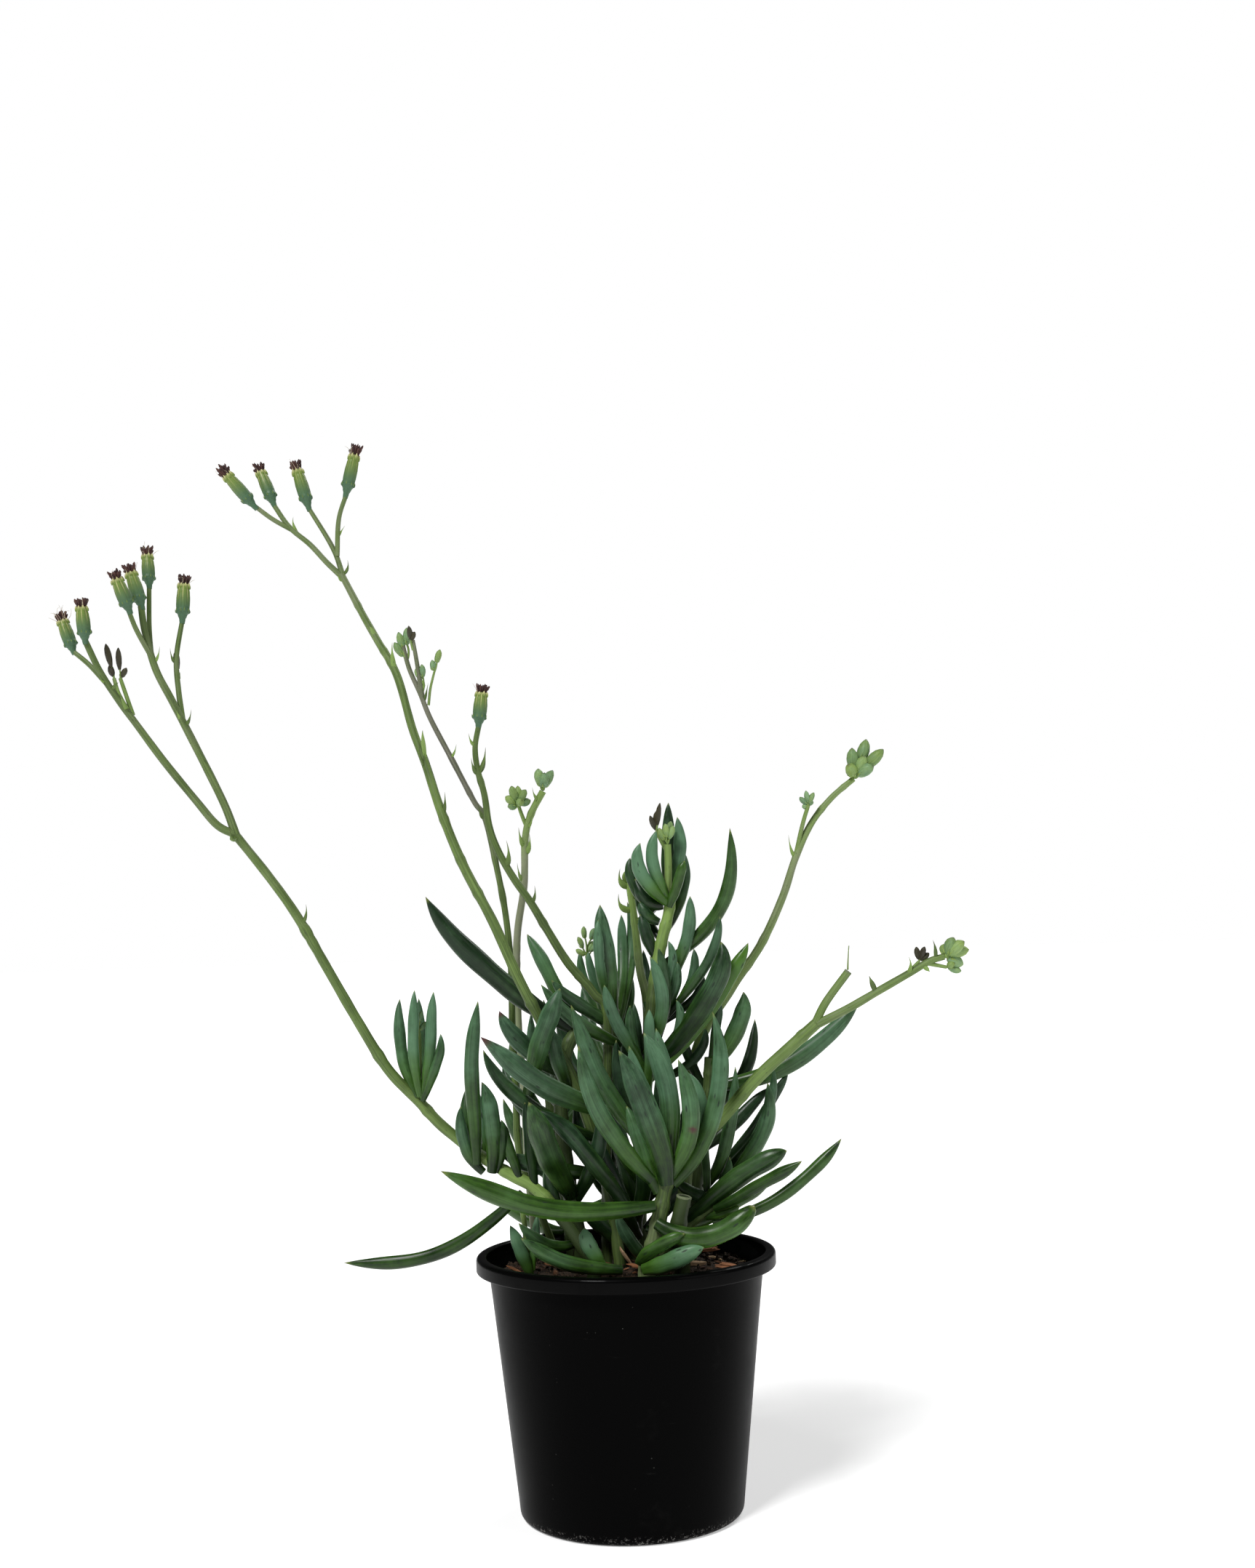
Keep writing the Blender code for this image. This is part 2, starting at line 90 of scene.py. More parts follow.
# ------------------------------------------------------------------------- leafy stems, mm
# name: (where it enters the mix (x, y), radius at the foot, radius at the tip, route)
STEMS = {
    "front_stem": ((9, -36), 4.0, 3.2, [
        (14, -37, 124), (18, -36, 141), (21, -35, 155)]),
    "side_stem": ((13, -12), 3.4, 2.6, [
        (18, -14, 118), (28, -17, 128), (41, -20, 138)]),
    "right_stem": ((30, 12), 3.6, 2.8, [
        (36, 12, 160), (41, 11, 190), (42, 10, 204)]),
    "centre_stem": ((2, 8), 4.0, 2.4, [
        (6, 8, 141), (9, 9, 175), (13, 10, 209), (16, 12, 236), (20, 13, 258),
        (24, 14, 273), (26, 14, 282)]),
    "upright_stem": ((-8, 26), 3.6, 2.8, [
        (-6, 24, 160), (-4, 22, 205), (-3, 22, 228)]),
    "left_stem": ((-20, -6), 3.8, 2.8, [
        (-26, -8, 150), (-29, -6, 185), (-26, -4, 210), (-20, -2, 223)]),
    "back_stem": ((-26, 42), 3.4, 2.6, [
        (-30, 46, 150), (-34, 52, 190)]),
    "cut_stump": ((25, -36), 3.6, 3.4, [
        (25, -37, 128), (28, -38, 142)]),
    "sprout_stem": ((-46, -10), 1.3, 1.1, [
        (-47, -10, 129), (-49, -10, 143)]),
}

# Stops along a stem or stalk: (share of its length, tinge of grey-purple, brightness). The brightness is
# painted light and shade: it mixes between the shaded and the lit stem colours, low where a stem stands
# in the plant's shade, such as the pruned stump and the foot of the centre stem, and high on stretches
# that stand in the light.
STEM_LOOKS = {
    "cut_stump": ((0, 0.0, -0.3), (0.8, 0.0, -0.3), (1, 0.2, 0.1)),
    "sprout_stem": ((0, 0.1, 0.5), (1, 0.1, 0.6)),
    "centre_stem": ((0, 0.0, 0.0), (0.5, 0.0, 0.1), (0.65, 0.0, 0.7), (1, 0.0, 0.9)),
    "upright_stem": ((0, 0.0, 0.05), (1, 0.0, 0.3)),
    "front_stem": ((0, 0.5, 0.55), (0.4, 0.4, 0.4), (0.65, 0.0, 0.2), (1, 0.0, 0.3)),
    "left_stalk": ((0, 0.0, 0.0), (0.16, 0.0, 0.03), (0.21, 0.0, 0.75), (0.34, 0.0, 0.75),
                   (0.45, 0.0, 0.45), (1, 0.3, 0.42)),
    "tall_stalk": ((0, 0.0, 0.2), (0.3, 0.0, 0.42), (0.6, 0.05, 0.42), (1, 0.4, 0.5)),
    "thin_stalk": ((0, 0.05, 0.4), (0.4, 0.1, 0.35), (0.65, 0.8, 0.35), (1, 0.7, 0.5)),
    "dark_head_stalk": ((0, 0.0, 0.25), (1, 0.2, 0.4)),
    "pale_stalk": ((0, 0.6, 0.7), (0.6, 0.7, 0.9), (1, 0.2, 0.85)),
    "right_stalk": ((0, 0.0, 0.45), (0.6, 0.45, 0.6), (1, 0.3, 0.7)),
    "low_right_stalk": ((0, 0.0, 0.4), (0.6, 0.0, 0.5), (1, 0.25, 0.5)),
    "spiky_stalk": ((0, 0.2, 0.2), (0.6, 0.3, 0.4), (1, 0.1, 0.8)),
}
# Painted shade: the stems hidden inside the plant stay dark along their whole length.
SHADED_STEM = ((0, 0.0, 0.0), (1, 0.0, 0.25))

# As STEMS, then the side branches: (radius at its root, radius at its tip, route).
STALKS = {
    "left_stalk": ((-15, -24), 3.1, 2.0, [
        (-21, -23, 121), (-31, -20, 136), (-42, -18, 148), (-54, -16, 155), (-69, -15, 165),
        (-85, -16, 178), (-96, -17, 190), (-110, -19, 205), (-124, -22, 228),
        (-138, -25, 253), (-152, -28, 278), (-165, -31, 297), (-182, -34, 319)], [
        (1.9, 1.5, [(-181, -34, 318), (-187, -35, 334), (-200, -36, 361), (-211, -38, 383),
                    (-219, -40, 399), (-224, -42, 417), (-226, -43, 430)]),
        (1.9, 1.4, [(-181, -34, 318), (-190, -36, 323), (-200, -39, 335), (-215, -43, 354),
                    (-228, -47, 372), (-238, -50, 386), (-246, -53, 399), (-253, -56, 414)]),
        (1.4, 1.1, [(-206, -37, 373), (-208, -34, 388), (-209, -31, 404), (-206, -30, 423)]),
        (1.2, 1.1, [(-221, -41, 405), (-228, -47, 418), (-232, -51, 428)]),
        (1.2, 1.1, [(-221, -41, 405), (-222, -36, 420), (-222, -33, 440)]),
        (1.2, 1.1, [(-243, -52, 393), (-251, -50, 402), (-259, -48, 409)])]),
    "tall_stalk": ((-3, -6), 2.8, 1.6, [
        (-9, -4, 152), (-22, -8, 196), (-37, -17, 225), (-48, -20, 247), (-59, -18, 273),
        (-73, -12, 301), (-83, -6, 327), (-90, 0, 350), (-96, 4, 367), (-103, 9, 393),
        (-112, 13, 410), (-119, 16, 423), (-129, 20, 443)], [
        (1.5, 1.2, [(-128, 20, 441), (-136, 21, 449), (-144, 23, 458), (-154, 25, 467),
                    (-162, 28, 479)]),
        (1.4, 1.1, [(-128, 20, 441), (-133, 22, 456), (-145, 24, 477)]),
        (1.2, 1.1, [(-152, 25, 465), (-162, 23, 471), (-171, 21, 478)]),
        (1.2, 1.1, [(-131, 21, 452), (-130, 20, 470), (-126, 20, 483)])]),
    "thin_stalk": ((-34, 22), 1.9, 1.1, [
        (-48, 22, 160), (-50, 22, 194), (-51, 22, 221), (-51, 22, 250), (-53, 22, 276),
        (-57, 22, 300), (-62, 22, 323), (-67, 23, 331), (-77, 24, 351), (-87, 24, 371),
        (-92, 24, 384), (-97, 25, 396), (-100, 25, 408)], [
        (1.3, 0.9, [(-91, 24, 382), (-93, 22, 397), (-95, 21, 410)])]),
    "dark_head_stalk": ((-9, 6), 2.5, 1.3, [
        (-8, 6, 160), (-6, 6, 225), (-12, 6, 238), (-24, 6, 253), (-33, 6, 268), (-41, 6, 282),
        (-49, 6, 294), (-56, 6, 307), (-60, 6, 319), (-62, 6, 334), (-65, 6, 346),
        (-66, 6, 357), (-64, 6, 368)], []),
    "pale_stalk": ((-44, 36), 1.9, 1.7, [
        (-45, 42, 160), (-46, 46, 192), (-48, 50, 221), (-48, 50, 263), (-44, 50, 290),
        (-43, 50, 312), (-40, 50, 324), (-34, 50, 335)], []),
    "right_stalk": ((24, 34), 2.6, 1.4, [
        (30, 32, 160), (35, 31, 208), (53, 31, 238), (68, 32, 259), (79, 34, 281),
        (86, 35, 300), (94, 37, 316), (104, 38, 328), (115, 40, 337)], [
        (1.1, 1.0, [(86, 35, 301), (90, 34, 316), (93, 32, 325)])]),
    "low_right_stalk": ((26, -6), 3.2, 2.7, [
        (31, -8, 161), (46, -12, 177), (64, -16, 196), (80, -18, 210), (93, -20, 221)], [
        (2.0, 1.8, [(92, -20, 220), (98, -21, 231), (109, -22, 245)]),
        (2.1, 1.5, [(92, -20, 220), (109, -23, 228), (122, -25, 235), (137, -28, 243),
                    (148, -30, 249), (155, -30, 251)])]),
    "spiky_stalk": ((8, 46), 2.5, 1.7, [
        (9, 44, 160), (13, 38, 226), (10, 34, 250), (8, 34, 274), (6, 34, 290)], []),
}

# name: (foot, top, width, how many pale threads hang out of it)
HEADS = {
    "flower_head_1": ((-259, -48, 410), (-265, -47, 427), 6.6, 12),
    "flower_head_2": ((-253, -57, 415), (-255, -59, 434), 6.8, 1),
    "flower_head_3": ((-232, -52, 429), (-239, -55, 447), 7.0, 3),
    "flower_head_4": ((-226, -43, 431), (-232, -42, 450), 7.0, 1),
    "flower_head_5": ((-222, -33, 441), (-223, -31, 458), 6.6, 3),
    "flower_head_6": ((-206, -30, 424), (-205, -29, 444), 7.0, 2),
    "flower_head_7": ((-172, 20, 479), (-187, 17, 497), 7.0, 1),
    "flower_head_8": ((-162, 28, 480), (-169, 31, 498), 7.0, 1),
    "flower_head_9": ((-145, 24, 478), (-151, 25, 499), 7.2, 2),
    "flower_head_10": ((-126, 20, 484), (-121, 19, 506), 7.2, 2),
    "flower_head_11": ((-64, 6, 369), (-62, 6, 387), 7.6, 2),
}

# name: (foot, (tip of each bud), width of a bud)
BUD_CLUSTERS = {
    "right_buds": ((116, 40, 338), [
        (115, 38, 352), (122, 42, 356), (130, 38, 351), (125, 34, 343), (117, 44, 346),
        (121, 36, 348), (113, 34, 344)], 6.2),
    "low_right_buds": ((156, -30, 251), [
        (160, -33, 260), (167, -28, 254), (164, -27, 247), (156, -26, 257), (165, -34, 258)], 5.6),
    "pale_buds": ((-34, 50, 336), [
        (-36, 48, 346), (-29, 52, 345), (-33, 46, 344)], 5.2),
}

# ------------------------------------------------------------------------------ the leaves
# What a leaf looks like: (blueness, brightness, kind of outline or tip). The brightness is painted light
# and shade: it mixes between the shaded and the lit leaf colours, so the dim "deep" leaves inside the
# plant are painted in shade.
LEAF_LOOKS = {
    "blue": (0.95, 0.72, "fresh"), "plain": (0.62, 0.5, "fresh"), "deep": (0.5, 0.2, "fresh"),
    "mossy": (0.3, 0.38, "fresh"), "grass": (0.08, 0.4, "finger"), "lime": (0.1, 0.85, "fresh"),
    "pale": (0.75, 0.95, "fresh"),
    "blunt": (0.2, 0.4, "blunt"), "purple_tipped": (0.8, 0.5, "purple"),
    "yellow_tipped": (0.45, 0.5, "yellow"), "blemished": (0.5, 0.5, "blemish"),
}
# Leaves that stand on a node of the frame: (stem, foot, bend, tip, width, look)
FRAME_LEAVES = {
    "front_leaf_1": ("front_stem", (20, -39, 148), (13, -45, 180), (-1, -50, 211), 11.4, "plain"),
    "front_leaf_2": ("front_stem", (22, -31, 158), (21, -31, 192), (11, -31, 219), 9.4, "blue"),
    "front_leaf_3": ("front_stem", (23, -35, 148), (45, -31, 184), (44, -26, 228), 8.0, "plain"),
    "front_leaf_4": ("front_stem", (13, -40, 150), (-8, -46, 177), (-20, -52, 214), 8.4, "plain"),
    "front_leaf_5": ("front_stem", (18, -32, 158), (-8, -27, 196), (-23, -26, 233), 8.2, "plain"),
    "rim_leaf_1": ("front_stem", (14, -42, 138), (-34, -53, 139), (-86, -64, 157), 8.8, "grass"),
    "rim_leaf_2": ("front_stem", (15, -42, 130), (39, -52, 123), (61, -54, 137), 9.4, "blunt"),
    "side_leaf_1": ("side_stem", (42, -24, 136), (62, -32, 145), (84, -40, 157), 5.6, "grass"),
    "side_leaf_2": ("side_stem", (41, -20, 130), (77, -18, 143), (103, -16, 167), 5.6, "grass"),
    "right_leaf_1": ("right_stem", (38, 6, 146), (50, -2, 170), (54, -2, 202), 6.2, "plain"),
    "right_leaf_2": ("right_stem", (42, 10, 150), (66, 4, 174), (72, 0, 202), 5.2, "plain"),
    "right_leaf_3": ("right_stem", (43, 9, 203), (56, 6, 220), (59, 4, 237), 8.4, "yellow_tipped"),
    "right_leaf_4": ("right_stem", (43, 13, 193), (84, 10, 205), (114, 8, 231), 8.8, "plain"),
    "crown_leaf_1": ("centre_stem", (22, 16, 251), (49, 12, 278), (55, 6, 315), 6.8, "mossy"),
    "crown_leaf_2": ("centre_stem", (14, 6, 202), (43, -4, 235), (49, -6, 261), 10.0, "deep"),
    "crown_leaf_3": ("centre_stem", (24, 11, 280), (12, 6, 294), (12, 4, 309), 6.8, "blue"),
    "crown_leaf_4": ("centre_stem", (25, 16, 281), (30, 18, 302), (30, 18, 321), 6.4, "blue"),
    "upright_leaf_1": ("upright_stem", (-3, 18, 226), (-6, 13, 255), (-8, 12, 280), 9.0, "plain"),
    "upright_leaf_2": ("centre_stem", (12, 5, 209), (20, -5, 233), (15, -8, 255), 6.6, "blue"),
    "left_leaf_1": ("left_stem", (-22, -2, 222), (-63, -8, 250), (-91, -14, 286), 10.0, "deep"),
    "left_leaf_2": ("left_stem", (-4, -14, 182), (-36, -34, 196), (-66, -42, 219), 10.0, "purple_tipped"),
    "left_leaf_3": ("left_stem", (-25, -12, 144), (-35, -36, 165), (-44, -46, 188), 11.4, "mossy"),
    "shoot_leaf": ("left_stalk", (-69, -19, 160), (-70, -27, 201), (-67, -29, 236), 6.8, "plain"),
    "hanging_leaf": ("left_stalk", (-48, -21, 146), (-86, -17, 121), (-132, -12, 116), 6.2, "grass"),
}

# The other leaves of each shoot: (foot, bend, tip, width, look)
MORE_LEAVES = {
    "front_shoot": [
        ((16, -34, 158), (10, -37, 185), (4, -39, 213), 7.5, "blue"),
        ((16, -36, 144), (9, -34, 165), (2, -32, 185), 7.5, "plain"),
        ((23, -30, 158), (21, -23, 192), (17, -20, 221), 7.5, "blue"),
        ((22, -38, 152), (32, -41, 178), (27, -40, 206), 8.2, "blemished"),
        ((25, -33, 156), (36, -28, 181), (31, -22, 200), 7.5, "blue"),
        ((2, -20, 136), (-19, -27, 166), (-40, -30, 184), 8.0, "deep"),
        ((10, -36, 128), (34, -44, 124), (47, -48, 131), 6.0, "mossy"),
    ],
    "side_shoot": [
        ((27, -18, 130), (59, -26, 153), (77, -30, 162), 9.0, "mossy"),
        ((25, -16, 149), (35, -18, 142), (43, -20, 140), 6.1, "deep"),
        ((38, -20, 132), (46, -22, 134), (54, -24, 137), 4.3, "grass"),
        ((38, -19, 138), (39, -15, 157), (38, -13, 171), 3.8, "mossy"),
        ((30, -17, 128), (50, -8, 137), (70, -2, 150), 6.0, "grass"),
    ],
    "right_shoot": [
        ((46, 6, 146), (65, -4, 169), (69, -8, 194), 7.0, "plain"),
        ((44, 14, 154), (67, 12, 180), (79, 10, 199), 4.8, "deep"),
        ((38, 12, 164), (54, 14, 177), (70, 16, 192), 6.5, "deep"),
        ((42, 10, 203), (46, 8, 221), (47, 6, 234), 4.3, "plain"),
        ((41, 12, 190), (30, 16, 212), (30, 18, 232), 5.0, "deep"),
        ((40, 14, 180), (58, 26, 200), (64, 34, 224), 6.2, "deep"),
        ((38, 14, 168), (44, 34, 184), (50, 46, 206), 6.4, "deep"),
        ((36, 12, 150), (30, 30, 168), (34, 42, 190), 6.0, "mossy"),
    ],
    "centre_shoot": [
        ((26, 14, 244), (33, 12, 265), (35, 10, 283), 6.1, "blue"),
        ((26, 12, 230), (35, 9, 245), (36, 8, 258), 4.8, "plain"),
        ((22, 10, 226), (42, 4, 252), (49, 2, 273), 5.0, "plain"),
        ((12, 4, 196), (46, 3, 234), (62, 2, 260), 7.6, "lime"),
        ((18, 14, 222), (37, 12, 237), (36, 10, 249), 4.3, "deep"),
        ((16, 14, 196), (36, 14, 207), (40, 12, 221), 4.8, "deep"),
        ((18, 10, 216), (22, 3, 240), (19, 1, 259), 5.5, "plain"),
        ((18, 12, 232), (25, 7, 249), (24, 6, 262), 4.3, "blue"),
        ((17, 12, 222), (26, 8, 239), (28, 6, 252), 4.8, "plain"),
        ((15, 16, 222), (13, 46, 241), (12, 48, 258), 4.8, "deep"),
        ((12, 3, 200), (-1, -6, 224), (-7, -11, 242), 5.8, "blue"),
        ((11, 5, 196), (6, -1, 217), (5, -4, 232), 5.0, "plain"),
        ((11, 8, 196), (8, 6, 218), (7, 6, 233), 4.3, "deep"),
        ((12, 6, 190), (14, -4, 214), (14, -7, 230), 5.5, "blue"),
        ((14, 8, 198), (27, 1, 219), (27, -1, 234), 4.8, "plain"),
        ((10, 14, 180), (4, 34, 204), (6, 48, 232), 6.6, "deep"),
        ((14, 16, 214), (24, 34, 236), (28, 44, 258), 6.0, "plain"),
        ((8, 12, 160), (20, 34, 178), (22, 52, 204), 6.6, "mossy"),
    ],
    "crown": [
        ((25, 12, 281), (18, 9, 298), (20, 8, 315), 6.2, "blue"),
        ((26, 19, 281), (25, 22, 306), (26, 22, 328), 6.4, "deep"),
        ((25, 10, 278), (29, 8, 289), (33, 6, 300), 5.0, "grass"),
        ((18, 16, 276), (8, 20, 290), (7, 21, 302), 5.6, "deep"),
        ((22, 15, 279), (14, 16, 282), (9, 17, 292), 6.6, "deep"),
        ((18, 14, 254), (14, 14, 265), (11, 14, 275), 6.0, "deep"),
        ((20, 14, 271), (14, 15, 275), (11, 15, 281), 5.6, "deep"),
        ((24, 17, 268), (32, 28, 286), (32, 32, 306), 5.0, "plain"),
        ((21, 17, 262), (12, 28, 280), (12, 34, 300), 5.0, "deep"),
    ],
    "upright_shoot": [
        ((-3, 22, 226), (-9, 7, 254), (-9, 5, 273), 5.0, "blue"),
        ((-2, 26, 222), (2, 46, 254), (2, 48, 275), 5.5, "plain"),
        ((-1, 27, 222), (6, 48, 254), (5, 50, 281), 5.5, "plain"),
        ((-5, 23, 218), (-15, 27, 240), (-18, 28, 259), 4.8, "plain"),
        ((-5, 21, 220), (-12, 18, 244), (-14, 17, 258), 4.3, "blue"),
        ((-4, 26, 200), (-14, 44, 220), (-16, 54, 246), 6.4, "plain"),
        ((-4, 26, 212), (4, 42, 236), (0, 48, 262), 6.0, "plain"),
        ((-6, 28, 172), (2, 48, 190), (-2, 60, 218), 6.8, "mossy"),
        ((-6, 22, 186), (-22, 34, 204), (-30, 38, 228), 6.0, "deep"),
    ],
    "left_shoot": [
        ((-18, 0, 220), (-33, 6, 247), (-43, 10, 267), 6.8, "plain"),
        ((2, 14, 221), (-17, 2, 231), (-32, -4, 245), 6.6, "yellow_tipped"),
        ((0, 6, 214), (-20, -6, 225), (-37, -10, 243), 6.8, "yellow_tipped"),
        ((-44, -16, 192), (-36, -24, 220), (-28, -25, 241), 9.0, "plain"),
        ((-24, -6, 200), (-45, -12, 213), (-57, -16, 231), 8.6, "purple_tipped"),
        ((-10, -6, 170), (-46, -12, 187), (-65, -14, 213), 7.2, "mossy"),
        ((-25, -8, 192), (-30, -16, 209), (-33, -18, 223), 6.8, "plain"),
        ((-10, -8, 153), (-38, -12, 158), (-57, -14, 163), 7.6, "deep"),
        ((-29, -6, 168), (-46, 14, 184), (-56, 26, 206), 6.6, "deep"),
        ((-28, -4, 184), (-36, 20, 200), (-38, 34, 226), 6.2, "deep"),
        ((-24, -6, 140), (-14, -22, 160), (-10, -30, 184), 7.0, "deep"),
    ],
    "left_stalk_shoot": [
        ((-62, -17, 156), (-61, -23, 178), (-66, -25, 198), 8.0, "plain"),
        ((-68, -14, 160), (-72, -12, 177), (-74, -10, 194), 6.8, "mossy"),
        ((-66, -17, 156), (-75, -19, 170), (-76, -21, 187), 5.8, "plain"),
        ((-66, -14, 160), (-67, -7, 177), (-68, -5, 195), 5.5, "blue"),
        ((-60, -17, 156), (-57, -21, 169), (-57, -23, 180), 5.0, "mossy"),
        ((-42, -19, 148), (-44, -16, 172), (-46, -17, 188), 5.5, "deep"),
        ((-49, -18, 152), (-54, -20, 168), (-57, -21, 180), 5.0, "mossy"),
    ],
    "stalk_tuft": [
        ((-96, -19, 192), (-104, -15, 215), (-104, -12, 238), 5.5, "plain"),
        ((-95, -20, 192), (-98, -24, 219), (-97, -23, 242), 5.0, "blue"),
        ((-95, -17, 191), (-95, -9, 217), (-95, -7, 238), 5.0, "plain"),
        ((-94, -20, 191), (-90, -21, 218), (-88, -21, 241), 5.5, "blue"),
        ((-94, -20, 190), (-87, -26, 207), (-85, -27, 221), 4.3, "plain"),
    ],
    "low_shoot": [
        ((8, -44, 109), (22, -50, 113), (37, -54, 119), 8.6, "pale"),
        ((6, -42, 112), (14, -48, 119), (28, -52, 125), 6.4, "grass"),
        ((-2, -42, 109), (-29, -47, 114), (-49, -50, 125), 6.8, "mossy"),
        ((-11, -39, 111), (-17, -41, 120), (-19, -42, 129), 7.4, "pale"),
        ((-45, -10, 108), (-49, -13, 119), (-54, -14, 131), 6.0, "pale"),
        ((-44, -10, 110), (-43, -8, 122), (-41, -6, 136), 4.4, "pale"),
        ((-24, -8, 122), (-38, -16, 122), (-50, -22, 132), 6.0, "mossy"),
        ((12, -12, 112), (2, -20, 122), (-4, -24, 136), 6.0, "deep"),
    ],
    "inner_shoot": [
        ((6, 2, 124), (-4, -10, 146), (-12, -16, 172), 8.0, "deep"),
        ((4, 0, 132), (10, -14, 156), (6, -20, 184), 8.0, "deep"),
        ((8, 4, 140), (24, -8, 160), (30, -12, 188), 7.4, "deep"),
        ((8, 2, 150), (-2, -8, 172), (-6, -12, 200), 7.6, "plain"),
        ((9, 4, 160), (18, -6, 182), (18, -10, 208), 7.2, "deep"),
        ((-4, 18, 140), (-16, 8, 160), (-22, 2, 188), 7.6, "deep"),
        ((-5, 18, 160), (-12, 8, 182), (-14, 4, 210), 7.2, "plain"),
        ((-26, -8, 128), (-34, -14, 146), (-32, -18, 168), 7.0, "deep"),
        ((28, 10, 130), (22, 2, 150), (26, -2, 176), 7.0, "deep"),
        ((30, 10, 124), (44, 2, 140), (50, -2, 160), 7.0, "mossy"),
        ((-6, 24, 128), (-2, 12, 146), (2, 6, 168), 7.0, "deep"),
        ((4, 4, 118), (-10, -6, 128), (-22, -12, 140), 7.0, "deep"),
        ((10, 6, 128), (22, -2, 140), (32, -6, 152), 6.6, "deep"),
        ((6, 6, 136), (0, 2, 160), (-10, 0, 186), 7.0, "deep"),
        ((8, 8, 170), (0, 4, 194), (-2, 2, 216), 6.6, "deep"),
    ],
    "back_shoot": [
        ((-30, 46, 150), (-46, 54, 166), (-56, 58, 190), 7.0, "mossy"),
        ((-30, 46, 158), (-24, 62, 176), (-22, 68, 204), 7.0, "plain"),
        ((-33, 50, 176), (-46, 56, 194), (-52, 60, 218), 6.6, "plain"),
        ((-34, 52, 188), (-40, 60, 206), (-42, 64, 230), 6.2, "blue"),
        ((-34, 52, 189), (-28, 60, 210), (-26, 62, 234), 6.2, "plain"),
        ((-34, 50, 189), (-34, 48, 212), (-36, 44, 236), 5.8, "blue"),
        ((-28, 44, 134), (-6, 62, 142), (16, 70, 158), 7.0, "grass"),
        ((-28, 44, 128), (-44, 62, 132), (-62, 70, 146), 6.6, "grass"),
        ((-33, 50, 172), (-18, 60, 188), (-10, 64, 210), 6.4, "plain"),
    ],
}

# Small leaves along each stalk: (foot, bend, tip, width, look). Here and in SPRIGS a point's
# depth is counted from the stalk's own.
BRACTS = {
    "tall_stalk": [
        ((-90, 0, 350), (-92, -3, 352), (-93, -5, 361), 3.2, "grass"),
        ((-90, 0, 352), (-91, -5, 362), (-91, -7, 366), 2.5, "lime"),
        ((-104, 0, 396), (-105, -2, 402), (-105, -3, 409), 3.0, "lime"),
        ((-113, 0, 412), (-115, -2, 416), (-116, -3, 417), 2.2, "lime"),
        ((-128, 0, 440), (-130, -1, 441), (-131, -2, 444), 2.0, "lime"),
        ((-128, 0, 443), (-126, -1, 446), (-126, -2, 450), 2.0, "grass"),
        ((-150, 0, 464), (-152, -2, 468), (-152, -3, 472), 1.8, "lime"),
        ((-130, 0, 462), (-129, -2, 464), (-127, -3, 467), 1.5, "lime"),
        ((-82, 0, 324), (-81, -2, 330), (-81, -2, 336), 2.2, "grass"),
    ],
    "left_stalk": [
        ((-181, 0, 318), (-183, -4, 316), (-184, -5, 323), 4.2, "grass"),
        ((-205, 0, 371), (-203, -2, 374), (-202, -3, 379), 2.2, "grass"),
        ((-206, 0, 372), (-208, -2, 376), (-209, -3, 379), 1.8, "lime"),
        ((-209, 0, 402), (-211, -1, 404), (-212, -2, 409), 1.9, "grass"),
        ((-220, 0, 402), (-218, -1, 405), (-217, -1, 410), 1.9, "lime"),
        ((-240, 0, 390), (-238, -2, 392), (-237, -2, 393), 2.0, "grass"),
        ((-243, 0, 394), (-245, -2, 394), (-246, -2, 397), 1.8, "lime"),
        ((-229, 0, 374), (-231, -1, 375), (-232, -1, 379), 1.9, "grass"),
        ((-150, 0, 274), (-148, -2, 279), (-148, -3, 284), 2.0, "grass"),
    ],
    "thin_stalk": [
        ((-62, 0, 323), (-64, -2, 325), (-65, -3, 330), 2.8, "grass"),
        ((-78, 0, 352), (-76, -2, 355), (-75, -2, 359), 1.6, "lime"),
        ((-90, 0, 380), (-89, -2, 384), (-88, -3, 389), 1.6, "grass"),
    ],
    "dark_head_stalk": [
        ((-53, 0, 299), (-51, -3, 304), (-52, -4, 312), 3.5, "grass"),
        ((-64, 0, 345), (-62, -2, 350), (-61, -3, 357), 3.0, "grass"),
        ((-65, 0, 344), (-67, -2, 347), (-68, -3, 352), 2.5, "grass"),
        ((-66, 0, 358), (-68, -2, 360), (-69, -3, 364), 2.0, "lime"),
        ((-41, 0, 281), (-39, -3, 285), (-39, -4, 290), 2.2, "grass"),
    ],
    "pale_stalk": [
        ((-43, 0, 308), (-45, -3, 312), (-46, -4, 318), 3.0, "lime"),
        ((-43, 0, 305), (-41, -3, 309), (-41, -4, 315), 3.0, "lime"),
        ((-44, 0, 292), (-46, -2, 295), (-47, -3, 301), 2.5, "lime"),
        ((-42, 0, 318), (-40, -3, 320), (-39, -4, 325), 2.2, "lime"),
        ((-36, 0, 331), (-38, -3, 333), (-39, -4, 337), 2.2, "lime"),
    ],
    "right_stalk": [
        ((86, 0, 300), (84, -2, 304), (83, -3, 311), 2.2, "lime"),
    ],
    "low_right_stalk": [
        ((122, 0, 235), (120, -3, 240), (119, -4, 243), 3.0, "grass"),
        ((137, 0, 243), (139, -3, 247), (138, -4, 252), 2.2, "lime"),
        ((145, 0, 247), (147, -2, 245), (148, -3, 244), 2.5, "lime"),
        ((151, 0, 250), (151, -3, 255), (150, -4, 259), 2.2, "grass"),
    ],
    "spiky_stalk": [
        ((8, 0, 272), (12, -3, 273), (14, -4, 279), 4.3, "grass"),
        ((7, 0, 277), (2, -3, 279), (1, -4, 285), 4.0, "lime"),
        ((7, 0, 284), (11, -3, 285), (11, -4, 291), 4.0, "grass"),
        ((6, 0, 288), (2, -3, 291), (2, -4, 297), 4.0, "lime"),
        ((6, 0, 289), (8, -3, 295), (6, -4, 301), 4.3, "grass"),
        ((6, 0, 290), (4, -3, 294), (7, -4, 298), 3.6, "lime"),
    ],
}

